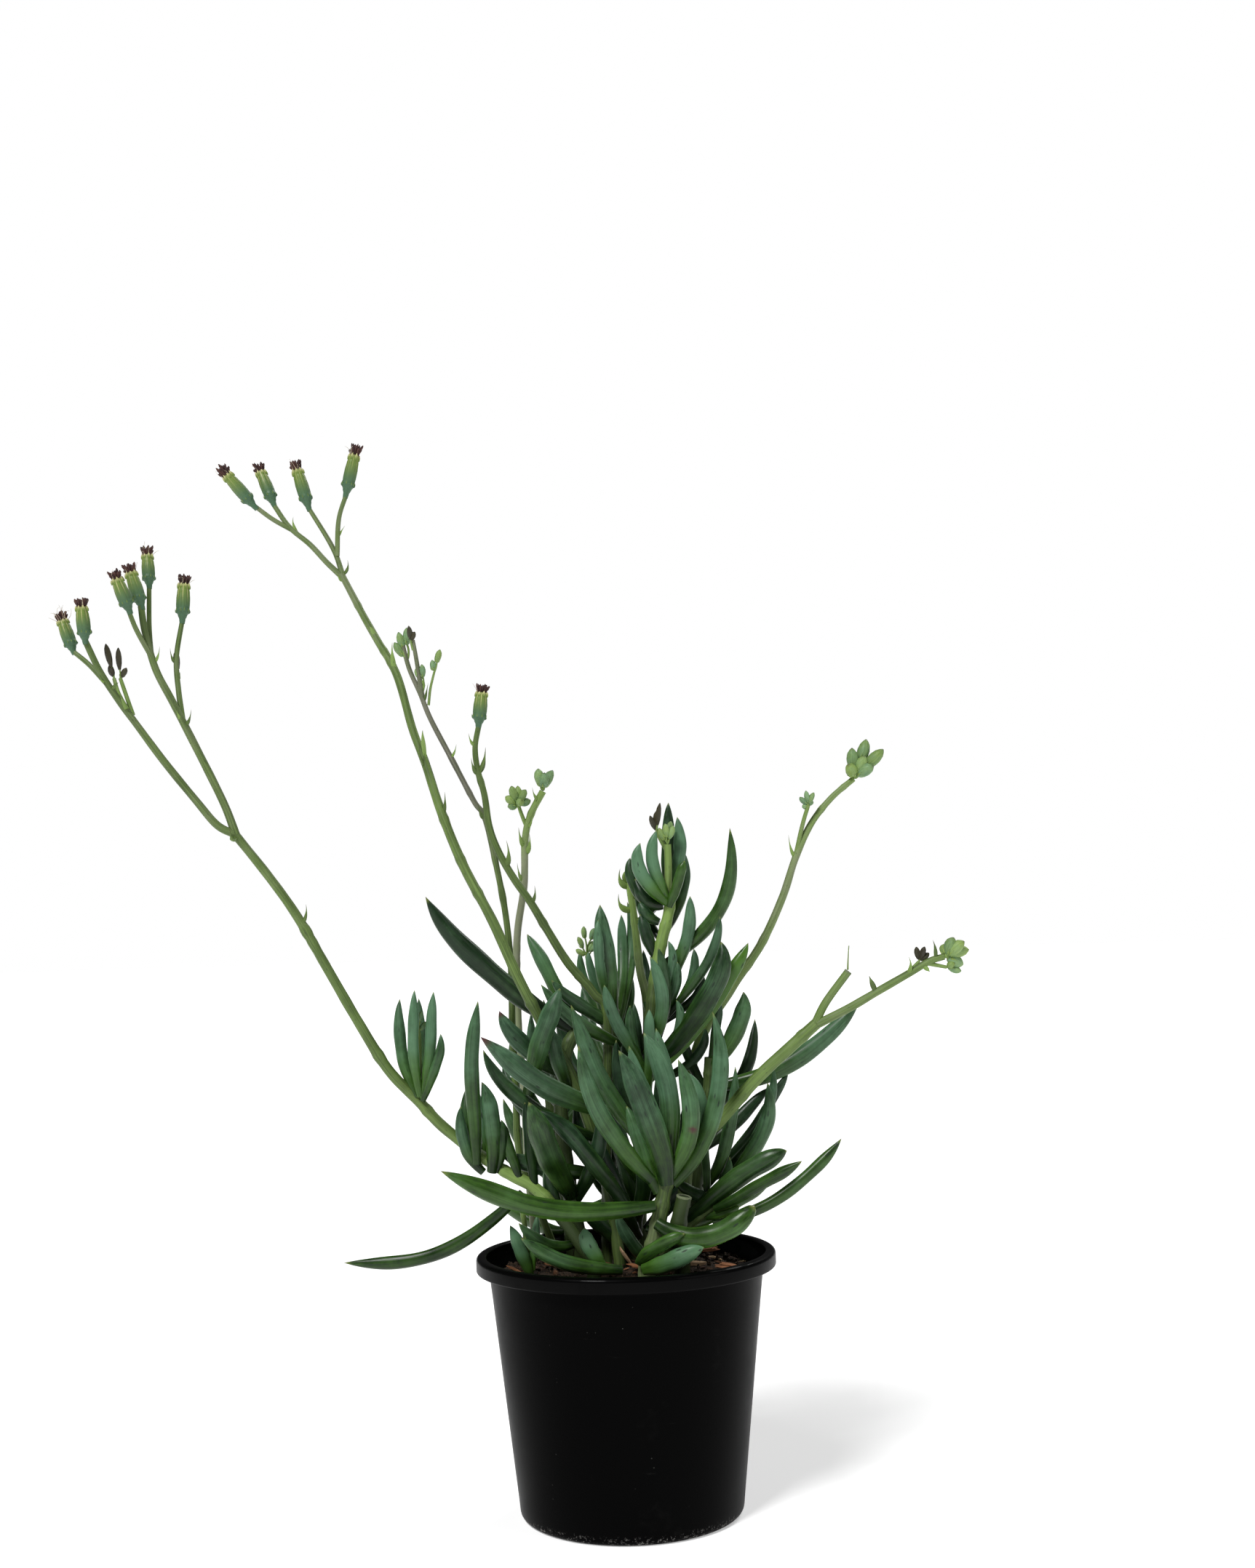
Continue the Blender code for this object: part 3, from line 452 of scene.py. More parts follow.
# Twigs with loose buds: (stalk, route, radius, (tip of each bud), width, kind)
SPRIGS = [
    ("pale_stalk", [(-42, 0, 318), (-44, 0, 323), (-46, -1, 329)], 1.1, [
        (-52, -2, 333), (-49, -4, 338), (-46, -1, 338), (-42, -3, 336), (-51, 0, 328),
        (-44, -5, 331), (-40, 0, 331)], 4.3, "green"),
    ("pale_stalk", [(-41, 0, 322), (-38, 1, 327)], 0.6, [(-37, 1, 333)], 2.0, "withered"),
    ("right_stalk", [(90, 0, 316), (93, -2, 325)], 0.9, [
        (89, -2, 329), (92, -4, 332), (96, -3, 331), (95, 0, 327), (90, -1, 324)], 2.8, "green"),
    ("thin_stalk", [(-97, 0, 396), (-98, 0, 400)], 0.8, [
        (-102, 0, 414), (-98, -1, 416), (-104, 1, 409)], 4.0, "green"),
    ("thin_stalk", [(-91, 0, 384), (-90, -1, 388)], 0.8, [(-91, -3, 398), (-94, -1, 396)], 3.0,
     "green"),
    ("thin_stalk", [(-88, 0, 378), (-87, -1, 386), (-85, -2, 394)], 0.7, [
        (-82, -3, 405), (-86, -2, 400)], 3.2, "green"),
    ("thin_stalk", [(-95, 0, 405), (-96, -1, 409)], 0.7, [
        (-97, -2, 417), (-94, -2, 414)], 2.6, "withered"),
    ("left_stalk", [(-233, 0, 380), (-237, 1, 388), (-239, 1, 395)], 1.1, [
        (-243, 2, 412), (-241, 3, 402)], 2.7, "withered"),
    ("left_stalk", [(-230, 0, 377), (-233, 1, 386), (-236, 1, 395)], 1.1, [
        (-237, 2, 410), (-233, 0, 400), (-234, 3, 398)], 2.5, "withered"),
    ("left_stalk", [(-208, 6, 394), (-208, 6, 397)], 0.9, [(-209, 5, 408)], 2.8, "withered"),
    ("low_right_stalk", [(137, 0, 243), (143, -1, 249)], 1.0, [
        (142, -1, 256), (146, -3, 256), (148, -1, 253)], 2.6, "withered"),
    ("low_right_stalk", [(147, 0, 248), (156, 1, 246)], 1.0, [
        (163, 2, 244), (160, -1, 248)], 3.4, "green"),
    ("centre_stem", [(24, 0, 282), (25, -2, 296), (25, -3, 308)], 2.1, [
        (28, -4, 317), (24, -5, 318), (27, -1, 319), (21, -2, 316)], 3.2, "green"),
    ("centre_stem", [(25, 0, 304), (20, -1, 314)], 1.2, [
        (17, -2, 322), (22, -3, 328), (20, -1, 324), (18, 1, 320)], 2.6, "withered"),
    ("upright_stem", [(-8, 0, 226), (-13, 0, 244), (-15, 0, 256)], 1.1, [
        (-19, 0, 265), (-16, -2, 270), (-11, -1, 269), (-12, 2, 263), (-20, 1, 259),
        (-9, -2, 262)], 2.8, "green"),
    ("left_stalk", [(-95, 0, 190), (-95, -1, 214), (-95, -1, 222)], 1.0, [
        (-97, -2, 230), (-94, -3, 232), (-95, 1, 231), (-92, -1, 227)], 2.4, "green"),
]

# Larger splinters on the mix: ((x, y), length, turn and tilt in degrees, rust, paleness)
SPLINTERS = [
    ((0, -9), 12.0, 10, 56, 0.8, 0.75), ((27, -2), 23.0, 5, 3, 0.45, 0.8),
    ((6, -16), 12.0, -16, 12, 0.9, 0.15), ((-10, -12), 12.0, 28, 18, 0.8, 0.1),
    ((8, -6), 9.0, 60, 30, 0.7, 0.35), ((-34, -4), 10.0, 15, 14, 0.7, 0.3),
    ((-52, -2), 9.0, -30, 20, 0.9, 0.3), ((46, 2), 9.0, -40, 8, 0.6, 0.2),
    ((16, -14), 9.0, 35, 10, 0.6, 0.2),
]

# The branch that was pruned (its stalk, which branch), and where a dry wisp rises from its end
PRUNED_TWIG = ("low_right_stalk", 0)
WISP_FOOT = (109, -22, 246)


# ---------------------------------------------------------------------- places and curves
def in_place(point):
    """A point of the front elevation, carried along the line of sight to its depth."""
    across, depth, height = point
    reach = (depth - EYE.y) / -EYE.y
    return Vector((EYE.x + (across - EYE.x) * reach, depth, EYE.z + (height - EYE.z) * reach))


def smooth_route(points, steps, before=None):
    """A Catmull-Rom curve through the points, with this many steps to each span."""
    ends = [before or 2 * points[0] - points[1], *points, 2 * points[-1] - points[-2]]
    route = []
    for a, b, c, d in zip(ends, ends[1:], ends[2:], ends[3:]):
        for step in range(steps):
            t = step / steps
            route.append(0.5 * (2 * b + (c - a) * t + (2 * a - 5 * b + 4 * c - d) * t ** 2
                                + (3 * b - a - 3 * c + d) * t ** 3))
    return route + [points[-1]]


def bent_route(foot, bend, tip, steps):
    """A quadratic curve that starts at foot, passes bend half way and ends at tip."""
    control = 2 * bend - (foot + tip) / 2
    return [foot * (1 - t) ** 2 + control * 2 * t * (1 - t) + tip * t ** 2
            for t in (step / steps for step in range(steps + 1))]


def stem_centres(foot, route, steps):
    """Straight up out of the mix, then along a smooth curve through the route."""
    root, collar = Vector((*foot, ROOT_HEIGHT)), Vector((*foot, COLLAR_HEIGHT))
    return [root] + smooth_route([collar] + [in_place(p) for p in route], steps, before=root)


def depth_of(stalk, point):
    """How deep a stem or stalk runs where its elevation passes nearest to a point."""
    foot, _, _, *routes = {**STEMS, **STALKS}[stalk]
    points = list(routes[0])
    for branch in routes[1] if len(routes) > 1 else ():
        points += branch[2]
    nearest = min(points, key=lambda at: math.hypot(at[0] - point[0], at[2] - point[2]))
    return nearest[1]


def beside(stalk, points):
    """Places points whose depth is counted from the stalk's depth at the first of them."""
    depth = depth_of(stalk, points[0])
    return [in_place((x, depth + y, z)) for x, y, z in points]


def tangents(route):
    """The direction of the route at each of its points."""
    last = len(route) - 1
    return [(route[min(i + 1, last)] - route[max(i - 1, 0)]).normalized()
            for i in range(len(route))]


def lengths_along(route):
    """How far along the route each of its points is."""
    lengths = [0.0]
    for a, b in zip(route, route[1:]):
        lengths.append(lengths[-1] + (b - a).length)
    return lengths


def around(count):
    """The angles of this many points, evenly spaced round a circle."""
    return [2 * math.pi * k / count for k in range(count)]


def polar(radius, angle, height):
    """A point at this distance and angle from the pot's axis."""
    return Vector((radius * math.cos(angle), radius * math.sin(angle), height))


def ring_frame(along):
    """Two directions square to this one: across, and facing away from the eye."""
    across = along.cross(DEPTH).normalized()
    return across, across.cross(along).normalized()


def jitter(dice, size):
    """A random shift of up to this size along each axis."""
    return Vector([dice.uniform(-size, size) for _ in range(3)])


def bell(distance, reach):
    """1 at no distance, falling smoothly to almost 0 at twice the reach."""
    return math.exp(-(distance / reach) ** 2)


def new_object(name, data):
    """An object that holds this data, linked to the scene."""
    thing = bpy.data.objects.new(name, data)
    bpy.context.scene.collection.objects.link(thing)
    return thing


class Skin:
    """The points and faces of one piece, with what its finishes read at each point.

    straight is the point's place in the part as if it were laid out straight, in metres;
    growth is (share of the length, blueness, tint or seam, brightness); wither is 0 to 1.
    """

    def __init__(self, name):
        self.name = name
        self.dice = random.Random(name)
        self.points, self.faces, self.parts = [], [], []
        self.straight, self.growth, self.wither = [], [], []

    def add_point(self, point, straight, growth, wither=0.0):
        self.points.append(point)
        self.straight.append(straight)
        self.growth.append(growth)
        self.wither.append(wither)

    def add_face(self, corners, part):
        self.faces.append(corners)
        self.parts.append(part)

    def add_walls(self, first, spans, sides, part):
        """Faces between rings of points, the first of which starts at this index."""
        for ring in range(spans):
            for k in range(sides):
                a, b = first + ring * sides + k, first + ring * sides + (k + 1) % sides
                self.add_face((a, a + sides, b + sides, b), part)

    def loft(self, centres, halves, sides, part=0, look=(0.5, 0.5), outline=None, wither=None):
        """A closed skin over rings. halves holds each ring's half width and half depth.
        outline(angle, share) swells or dents a ring and wither(angle, share) withers it;
        look is a blueness or tint and a brightness, or gives them as look(angle, share).
        """
        first, last = len(self.points), len(centres) - 1
        lot = jitter(self.dice, 1.0)
        facing = DEPTH
        rings = zip(centres, tangents(centres), lengths_along(centres), halves)
        for ring, (centre, along, length, (half_width, half_depth)) in enumerate(rings):
            across = along.cross(facing).normalized()
            facing = across.cross(along).normalized()
            share = ring / last
            for angle in around(sides):
                swell = outline(angle, share) if outline else 1.0
                x, y = half_width * swell * math.cos(angle), half_depth * swell * math.sin(angle)
                self.add_point(centre + across * x + facing * y,
                               Vector((x, y, length)) * MM + lot,
                               (share, *(look(angle, share) if callable(look) else look)),
                               wither(angle, share) if wither else 0.0)
        self.add_walls(first, last, sides, part)
        self.add_face(tuple(range(first, first + sides)), part)
        self.add_face(tuple(reversed(range(first + last * sides, first + (last + 1) * sides))), part)

    def bare_mesh(self):
        mesh = bpy.data.meshes.new(self.name)
        mesh.from_pydata([point * MM for point in self.points], [], self.faces)
        return mesh

    def stand(self, finishes, nodes=(), flat_above=70):
        """Makes the piece, which rides on the pot and stands for these nodes of the frame."""
        mesh = self.bare_mesh()
        for finish in finishes:
            mesh.materials.append(finish)
        mesh.polygons.foreach_set("material_index", self.parts)
        for name, kind, values in (("straight", "FLOAT_VECTOR", self.straight),
                                   ("growth", "FLOAT_VECTOR", self.growth)):
            flat = [number for value in values for number in value]
            mesh.attributes.new(name, kind, "POINT").data.foreach_set("vector", flat)
        mesh.attributes.new("wither", "FLOAT", "POINT").data.foreach_set("value", self.wither)
        mesh.shade_smooth()
        mesh.set_sharp_from_angle(angle=math.radians(flat_above))
        piece = new_object(self.name, mesh)
        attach(piece, "root")
        if nodes:
            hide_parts(*nodes)
        return piece


# -------------------------------------------------------------------------- parts of skin
def leaf_half_width(share, width, kind):
    """Half the leaf's width: a narrow foot, a full middle and a tip that tapers like an arch."""
    swell = 0.6 + 0.4 * math.sin(math.pi / 2 * min(share / 0.4, 1.0)) ** 1.2
    start, power = {"blunt": (0.78, 2.0), "finger": (0.72, 2.5)}.get(kind, (0.55, 2.7))
    run = max(share - start, 0.0) / (1 - start)
    taper = math.sqrt(1 - run ** 2 * 0.998) if kind == "blunt" else 1 - 0.985 * run ** power
    return 0.5 * width * swell * taper


def add_leaf(skin, foot, bend, tip, width, look, rings=40, sides=20, depth=0.8):
    """One fleshy leaf: half round behind, a little flatter towards the stem, faintly wavy."""
    blueness, brightness, kind = LEAF_LOOKS[look]
    dice = skin.dice
    route = bent_route(in_place(foot), in_place(bend), in_place(tip), rings)
    phase = dice.uniform(0, 6)
    sway = 0.012 * (route[-1] - route[0]).length
    for i, along in enumerate(tangents(route)):
        side = along.cross(DEPTH).normalized()
        share = i / rings
        route[i] = route[i] + side * (sway * math.sin(phase + 5 * share) * math.sin(math.pi * share))
    halves = [leaf_half_width(i / rings, width, kind) for i in range(rings + 1)]
    halves = [half * (1 + 0.03 * math.sin(phase + 0.5 * i)) for i, half in enumerate(halves)]

    def outline(angle, share):
        facet = 0.025 * math.cos(4 * angle + phase)
        keel = 0.05 * max(math.sin(angle), 0) ** 2
        groove = -0.10 * bell(angle - 1.5 * math.pi, 0.35) * (1 - share)
        return 1 + facet + keel + groove

    def wither(angle, share):
        if kind == "purple":
            return max(0.0, (share - 0.9) / 0.1)
        if kind == "blemish":
            return 0.8 * bell(share - BLEMISH_AT, 0.03) * bell(math.sin((angle - 4.4) / 2), 0.3)
        return 0.5 * max(0.0, (share - 0.985) / 0.015)

    blueness += dice.uniform(-0.12, 0.12)
    brightness += dice.uniform(-0.14, 0.12)

    def tint(angle, share):
        # Painted light and shade: paler along both edges, partly a real pale rim and partly a painted
        # highlight, and painted shade on the back, the side turned away from the front.
        pale_rim_and_highlight = 0.36 * abs(math.cos(angle)) ** 14 * min(1.0, 4 * share)
        back = 0.12 * max(math.sin(angle), 0.0)
        return blueness, brightness + pale_rim_and_highlight - back

    skin.loft(route, [(half, depth * half) for half in halves], sides, 0, tint, outline, wither)


def add_bract(skin, foot, bend, tip, width, look):
    """A small leaf on a stalk: thin, cupped and pointed, with a dry tip."""
    rings = 10
    route = bent_route(foot, bend, tip, rings)
    halves = [(0.5 * width * (0.55 + 0.45 * math.sin(math.pi * min(i / rings * 1.4, 1)))
               * (1 - 0.96 * (i / rings) ** 1.6)) for i in range(rings + 1)]
    tint = LEAF_LOOKS[look][:2]
    skin.loft(route, [(half, 0.45 * half) for half in halves], 8, 0, tint,
              wither=lambda angle, share: 0.7 * max(0.0, (share - 0.75) / 0.25))


def stem_look(stops):
    """A look that shades from stop to stop along a stem."""
    def look(angle, share):
        for (a, *low), (b, *high) in zip(stops, stops[1:]):
            if share <= b:
                break
        return [x + (y - x) * (share - a) / (b - a) for x, y in zip(low, high)]
    return look


def add_stem(skin, centres, start, end, look, sides=16, part=0, knuckles=(), rib=0.02):
    """A rounded stem with faint ribs, a slightly uneven girth and knuckles at these lengths."""
    last = len(centres) - 1
    phase = skin.dice.uniform(0, 40)
    halves = []
    for i, length in enumerate(lengths_along(centres)):
        radius = start + (end - start) * i / last
        radius *= 1 + 0.05 * noise.noise(Vector((phase, 0, length / 9)))
        radius *= 1 + sum(0.13 * bell(length - knuckle, 1.6) for knuckle in knuckles)
        halves.append((radius, radius))
    skin.loft(centres, halves, sides, part, look,
              lambda angle, share: 1 + rib * math.cos(6 * angle + phase))


def add_bud(skin, foot, tip, width, look, withered):
    """A bud: a swollen, ribbed pod that ends in a small point, with bracts unless withered."""
    rings = 14
    bow = jitter(skin.dice, 0.04 * (tip - foot).length)
    route = bent_route(foot, (foot + tip) / 2 + bow, tip, rings)
    outline_at = ((0.0, 0.2), (0.12, 0.32), (0.3, 0.46), (0.55, 0.5), (0.78, 0.4), (0.92, 0.22),
                  (1.0, 0.05))
    halves = []
    for i in range(rings + 1):
        share = i / rings
        for (a, low), (b, high) in zip(outline_at, outline_at[1:]):
            if a <= share <= b:
                half = width * (low + (high - low) * (share - a) / (b - a))
        halves.append((half, half))
    ridge = 0.16 if withered else 0.06
    skin.loft(route, halves, 14, 0, look, lambda angle, share: 1 + ridge * math.cos(5 * angle),
              lambda angle, share: 1.0 if withered else 0.6 * max(0, (share - 0.88) / 0.12))
    for n in range(0 if withered else 4):
        angle = GOLDEN * n
        along = (tip - foot).normalized()
        across = along.cross(DEPTH).normalized()
        out = across * math.cos(angle) + across.cross(along) * math.sin(angle)
        start = foot + along * 0.2
        reach = (tip - foot).length
        add_bract(skin, start, start + out * width * 0.36 + along * reach * 0.12,
                  start + out * width * 0.52 + along * reach * 0.38, width * 0.3, "lime")


def add_thread(skin, start, lean, reach, radius, part, curl):
    """A fine dry hair that leans away and curls over."""
    bend = start + lean * reach * 0.55 + jitter(skin.dice, curl)
    tip = start + lean * reach + jitter(skin.dice, curl * 1.8)
    route = bent_route(start, bend, tip, 7)
    skin.loft(route, [(radius * (1 - 0.08 * i),) * 2 for i in range(8)], 5, part, (0.5, 0.8))


def add_head(skin, foot, top, width, threads, florets, bracts):
    """A spent flower head: a funnel foot, a ring of bracts, a ribbed cup and dry florets."""
    dice = skin.dice
    foot, top = in_place(foot), in_place(top)
    along = (top - foot).normalized()
    length = (top - foot).length
    rings, scales = 46, 8
    # (share of the length, half width in widths)
    profile = ((-0.16, 0.17), (-0.06, 0.2), (0.04, 0.3), (0.11, 0.41), (0.15, 0.46), (0.18, 0.45),
               (0.21, 0.44), (0.3, 0.455), (0.45, 0.455), (0.6, 0.42), (0.72, 0.37), (0.8, 0.33))

    def half_at(share):
        for (a, low), (b, high) in zip(profile, profile[1:]):
            if share <= b:
                blend = (share - a) / (b - a)
                return width * (low + (high - low) * (3 - 2 * blend) * blend ** 2)
        return width * profile[-1][1]

    low, high = profile[0][0], profile[-1][0]
    shares = [low + (high - low) * i / rings for i in range(rings + 1)]
    route = [foot + along * length * share for share in shares]
    turn = dice.uniform(0, 6)

    def seam_at(angle):
        return (1 - abs(math.sin(scales / 2 * (angle + turn)))) ** 2

    def outline(angle, share):
        cup = min(1.0, max(0.0, (low + (high - low) * share - 0.19) / 0.05))
        return 1 - 0.06 * cup * seam_at(angle)

    first = len(skin.points)
    sides = 48
    skin.loft(route, [(half_at(share),) * 2 for share in shares], sides, 0, (0.0, 0.5), outline)
    for ring, share in enumerate(shares):
        for k, angle in enumerate(around(sides)):
            skin.growth[first + ring * sides + k] = (share, seam_at(angle), 0.5)
    across, facing = ring_frame(along)

    def out_at(angle):
        return across * math.cos(angle) + facing * math.sin(angle)

    for n in range(scales):
        out = out_at(2 * math.pi * (n + 0.5) / scales - turn)
        root = foot + along * length * 0.7 + out * half_at(0.7) * 0.88
        tip = foot + along * length * (0.83 + dice.uniform(-0.015, 0.02)) + out * width * 0.37
        add_scale(skin, root, (root + tip) / 2 + out * 0.1, tip, width * 0.24)
    for n in range(bracts):
        out = out_at(2 * math.pi * n / bracts + dice.uniform(-0.2, 0.2))
        root = foot + along * length * 0.1 + out * half_at(0.1) * 0.95
        reach = length * dice.uniform(0.08, 0.13)
        add_bract(skin, root, root + out * width * 0.08 + along * reach * 0.5,
                  root + out * width * dice.uniform(0.04, 0.14) + along * reach, 1.0, "mossy")
    for n in range(florets):
        spread = math.sqrt((n + 0.5) / florets)
        out = out_at(GOLDEN * n)
        start = foot + along * length * 0.75 + out * width * 0.27 * spread
        reach = length * dice.uniform(0.17, 0.31)
        bend = start + along * reach * 0.55 + out * width * 0.08 * spread
        tip = start + along * reach + out * width * 0.2 * spread + jitter(dice, 0.6)
        rise = bent_route(start, bend, tip, 6)
        girth = dice.uniform(0.3, 0.48)
        flare = [girth * swell for swell in (0.8, 0.8, 0.85, 1.0, 1.2, 1.35, 0.5)]
        skin.loft(rise, [(half, half * 0.75) for half in flare], 7, 1, (0.5, dice.uniform(0.1, 1)),
                  lambda angle, share: 1 + 0.4 * share * math.cos(3 * angle + 9 * share))
    for n in range(threads + 6):
        out = out_at(dice.uniform(0, 6.28))
        start = foot + along * length * 0.78 + out * width * 0.28
        lean = (along + out * dice.uniform(0.0, 1.0 if n < threads else 0.3)).normalized()
        reach = dice.uniform(4.0, 6.5) if n < threads else dice.uniform(2.4, 4.0)
        add_thread(skin, start, lean, reach, 0.13, 2, 0.9 if n < threads else 0.3)


def add_scale(skin, root, bend, tip, width):
    """The pale pointed end of one of the cup's scales."""
    route = bent_route(root, bend, tip, 6)
    halves = [0.5 * width * (1 - (i / 6) ** 2.2 * 0.95) for i in range(7)]
    first = len(skin.points)
    skin.loft(route, [(half, 0.35 * half + 0.12) for half in halves], 8, 0, (0.0, 0.5))
    for i in range(first, len(skin.points)):
        share = 0.78 + 0.2 * skin.growth[i][0]
        skin.growth[i] = (share, 0.15, 0.5)


# ------------------------------------------------------------------------ pot and its mix
def pot_outline(pot):
    """(radius, height) from the middle of the underside out, up, over the lip and down inside."""
    under_lip = pot.height - pot.lip_height

    def corner(points, centre, radius, start, end, steps=5):
        for i in range(steps + 1):
            angle = math.radians(start + (end - start) * i / steps)
            points.append((centre[0] + radius * math.cos(angle), centre[1] + radius * math.sin(angle)))

    slope = (pot.wall_top_radius - pot.wall_foot_radius) / (under_lip - pot.foot_height)

    def wall_radius(height):
        return pot.wall_foot_radius + slope * (height - pot.foot_height)

    outline = [(pot.wall_foot_radius - 12.0, 0.6), (pot.wall_foot_radius - 8.5, 0.0)]
    corner(outline, (pot.wall_foot_radius - 3.4, 3.4), 3.4, -90, -6)
    outline += [(wall_radius(h), h) for h in (8, 20, 40, 60, 80, 98)]
    corner(outline, (wall_radius(under_lip) + 1.0, under_lip - 1.0), 1.0, 180, 90, 3)
    corner(outline, (pot.rim_radius - 0.9, under_lip + 0.9), 0.9, -90, 0)
    corner(outline, (pot.rim_radius - 1.9, pot.height - 1.9), 1.9, 0, 90)
    corner(outline, (LIP_BORE + 1.1, pot.height - 1.1), 1.1, 90, 180)
    step = under_lip + 1.2
    outline += [(LIP_BORE, step), (wall_radius(under_lip) - WALL, under_lip - 1.2)]
    outline += [(wall_radius(h) - WALL, h) for h in (90, 60, 30, 5)]
    outline += [(pot.wall_foot_radius - WALL - 3.0, FLOOR), (30.0, FLOOR), (16.0, FLOOR)]
    return outline


def turn_skin(skin, outline, sides, part=0):
    """Skins an outline turned round the pot's axis and closes both of its ends."""
    first, ring = len(skin.points), len(outline)
    for angle in around(sides):
        for r, z in outline:
            point = polar(r, angle, z)
            skin.add_point(point, point * MM, (z / RIM.z, r / RIM.x, 0.5))
    ends = []
    for height in (outline[0][1], outline[-1][1]):
        ends.append(len(skin.points))
        skin.add_point(Vector((0, 0, height)), Vector((0, 0, height * MM)), (0, 0, 0.5))
    for s in range(sides):
        a, b = first + s * ring, first + (s + 1) % sides * ring
        for k in range(ring - 1):
            skin.add_face((a + k, b + k, b + k + 1, a + k + 1), part)
        skin.add_face((ends[0], b, a), part)
        skin.add_face((ends[1], a + ring - 1, b + ring - 1), part)


def drill_drains(piece):
    """Cuts the drainage holes through the pot's floor."""
    drills = []
    for n in range(DRAIN_COUNT):
        angle = math.radians(DRAIN_START + 360 * n / DRAIN_COUNT)
        centre = polar(DRAIN_CIRCLE, angle, 0.0)
        drill = Skin(f"drain_drill_{n + 1}")
        route = [centre + UP * height for height in (-4.0, 0.0, 6.0)]
        drill.loft(route, [(DRAIN_RADIUS, DRAIN_RADIUS)] * 3, sides=28)
        drills.append(new_object(drill.name, drill.bare_mesh()))
        cut = piece.modifiers.new(drill.name, "BOOLEAN")
        cut.operation = "DIFFERENCE"
        cut.solver = "EXACT"
        cut.object = drills[-1]
    bpy.context.view_layer.update()
    cut_mesh = bpy.data.meshes.new_from_object(
        piece.evaluated_get(bpy.context.evaluated_depsgraph_get()))
    piece.modifiers.clear()
    piece.data = cut_mesh
    for thing in drills:
        bpy.data.objects.remove(thing, do_unlink=True)


def soil_height(x, y):
    """The mix's crumbly top: a low dome with hollows, heaped a little round the stems."""
    share = math.hypot(x, y) / LIP_BORE
    dome = SOIL_CENTRE_HEIGHT + (SOIL_EDGE_HEIGHT - SOIL_CENTRE_HEIGHT) * share ** 2
    place = Vector((x, y, 0))
    crumbs = 1.1 * noise.noise(place / 11) + 0.9 * noise.noise(place / 4.5)
    crumbs += 0.55 * noise.noise(place / 1.9)
    return dome + crumbs


def on_mix(x, y, rise):
    """The point this far above the top of the mix."""
    return Vector((x, y, soil_height(x, y) + rise))


def strewn(dice, radius, share):
    """A random place on the mix, within this share of its radius."""
    angle, reach = dice.uniform(0, 2 * math.pi), radius * math.sqrt(dice.random()) * share
    return reach * math.cos(angle), reach * math.sin(angle)


def add_clod(skin, centre, size, part, look, stretch=(1, 1, 1), turn=0.0, tilt=0.0, rough=0.35):
    """A crumb, chip or splinter: a lumpy blob with flats, stretched and laid at an angle."""
    rings, sides = 6, 9
    lay = Matrix.Rotation(turn, 3, "Z") @ Matrix.Rotation(tilt, 3, "Y")
    lot = jitter(skin.dice, 40.0)
    first = len(skin.points)
    for ring in range(rings + 1):
        latitude = math.pi * ring / rings
        for longitude in around(sides):
            unit = Vector((math.sin(latitude) * math.cos(longitude),
                           math.sin(latitude) * math.sin(longitude), math.cos(latitude)))
            unit *= 1 + rough * noise.noise(unit * 1.7 + lot)
            local = Vector((unit.x * stretch[0], unit.y * stretch[1], unit.z * stretch[2])) * size
            skin.add_point(centre + lay @ local, (local + lot) * MM, (ring / rings, *look))
    skin.add_walls(first, rings, sides, part)


def add_soil(skin, radius):
    """The top of the mix as a fine crumbly disc, with a skirt down the inside of the wall."""
    rings, sides = 52, 150
    centre = len(skin.points)
    skin.add_point(on_mix(0, 0, 0.0), Vector(), (0, 0.5, 0.5))
    for ring in range(1, rings + 1):
        r = radius * ring / rings
        for angle in around(sides):
            point = on_mix(r * math.cos(angle), r * math.sin(angle), 0.0)
            skin.add_point(point, point * MM, (ring / rings, 0.5, 0.5))
    skirt = len(skin.points)
    for angle in around(sides):
        point = polar(SOIL_FOOT_RADIUS, angle, FLOOR + 0.3)
        skin.add_point(point, point * MM, (1.0, 0.5, 0.5))
    for s in range(sides):
        t = (s + 1) % sides
        skin.add_face((centre, centre + 1 + s, centre + 1 + t), 0)
        for ring in range(rings - 1):
            a, b = centre + 1 + ring * sides, centre + 1 + (ring + 1) * sides
            skin.add_face((a + s, b + s, b + t, a + t), 0)
        edge = centre + 1 + (rings - 1) * sides
        skin.add_face((edge + s, skirt + s, skirt + t, edge + t), 0)
    skin.add_face(tuple(reversed(range(skirt, skirt + sides))), 0)


# ------------------------------------------------------------------------ shader writing
class Signal:
    """One output of a node. Arithmetic on it adds Math nodes to its finish."""

    def __init__(self, finish, socket):
        self.finish, self.socket = finish, socket

    def math(self, operation, *terms):
        return self.finish.node("ShaderNodeMath", {"operation": operation}, dict(enumerate(terms)))

    def __add__(self, other):
        return self.math("ADD", self, other)

    def __sub__(self, other):
        return self.math("SUBTRACT", self, other)

    def __rsub__(self, other):
        return self.math("SUBTRACT", other, self)

    def __mul__(self, other):
        return self.math("MULTIPLY", self, other)

    __radd__ = __add__
    __rmul__ = __mul__

    def between(self, low, high):
        """0 below low, 1 above high and a smooth step in between; low may be the larger."""
        return self.finish.node("ShaderNodeMapRange", {"interpolation_type": "SMOOTHSTEP"},
                                {"Value": self, "From Min": low, "From Max": high})


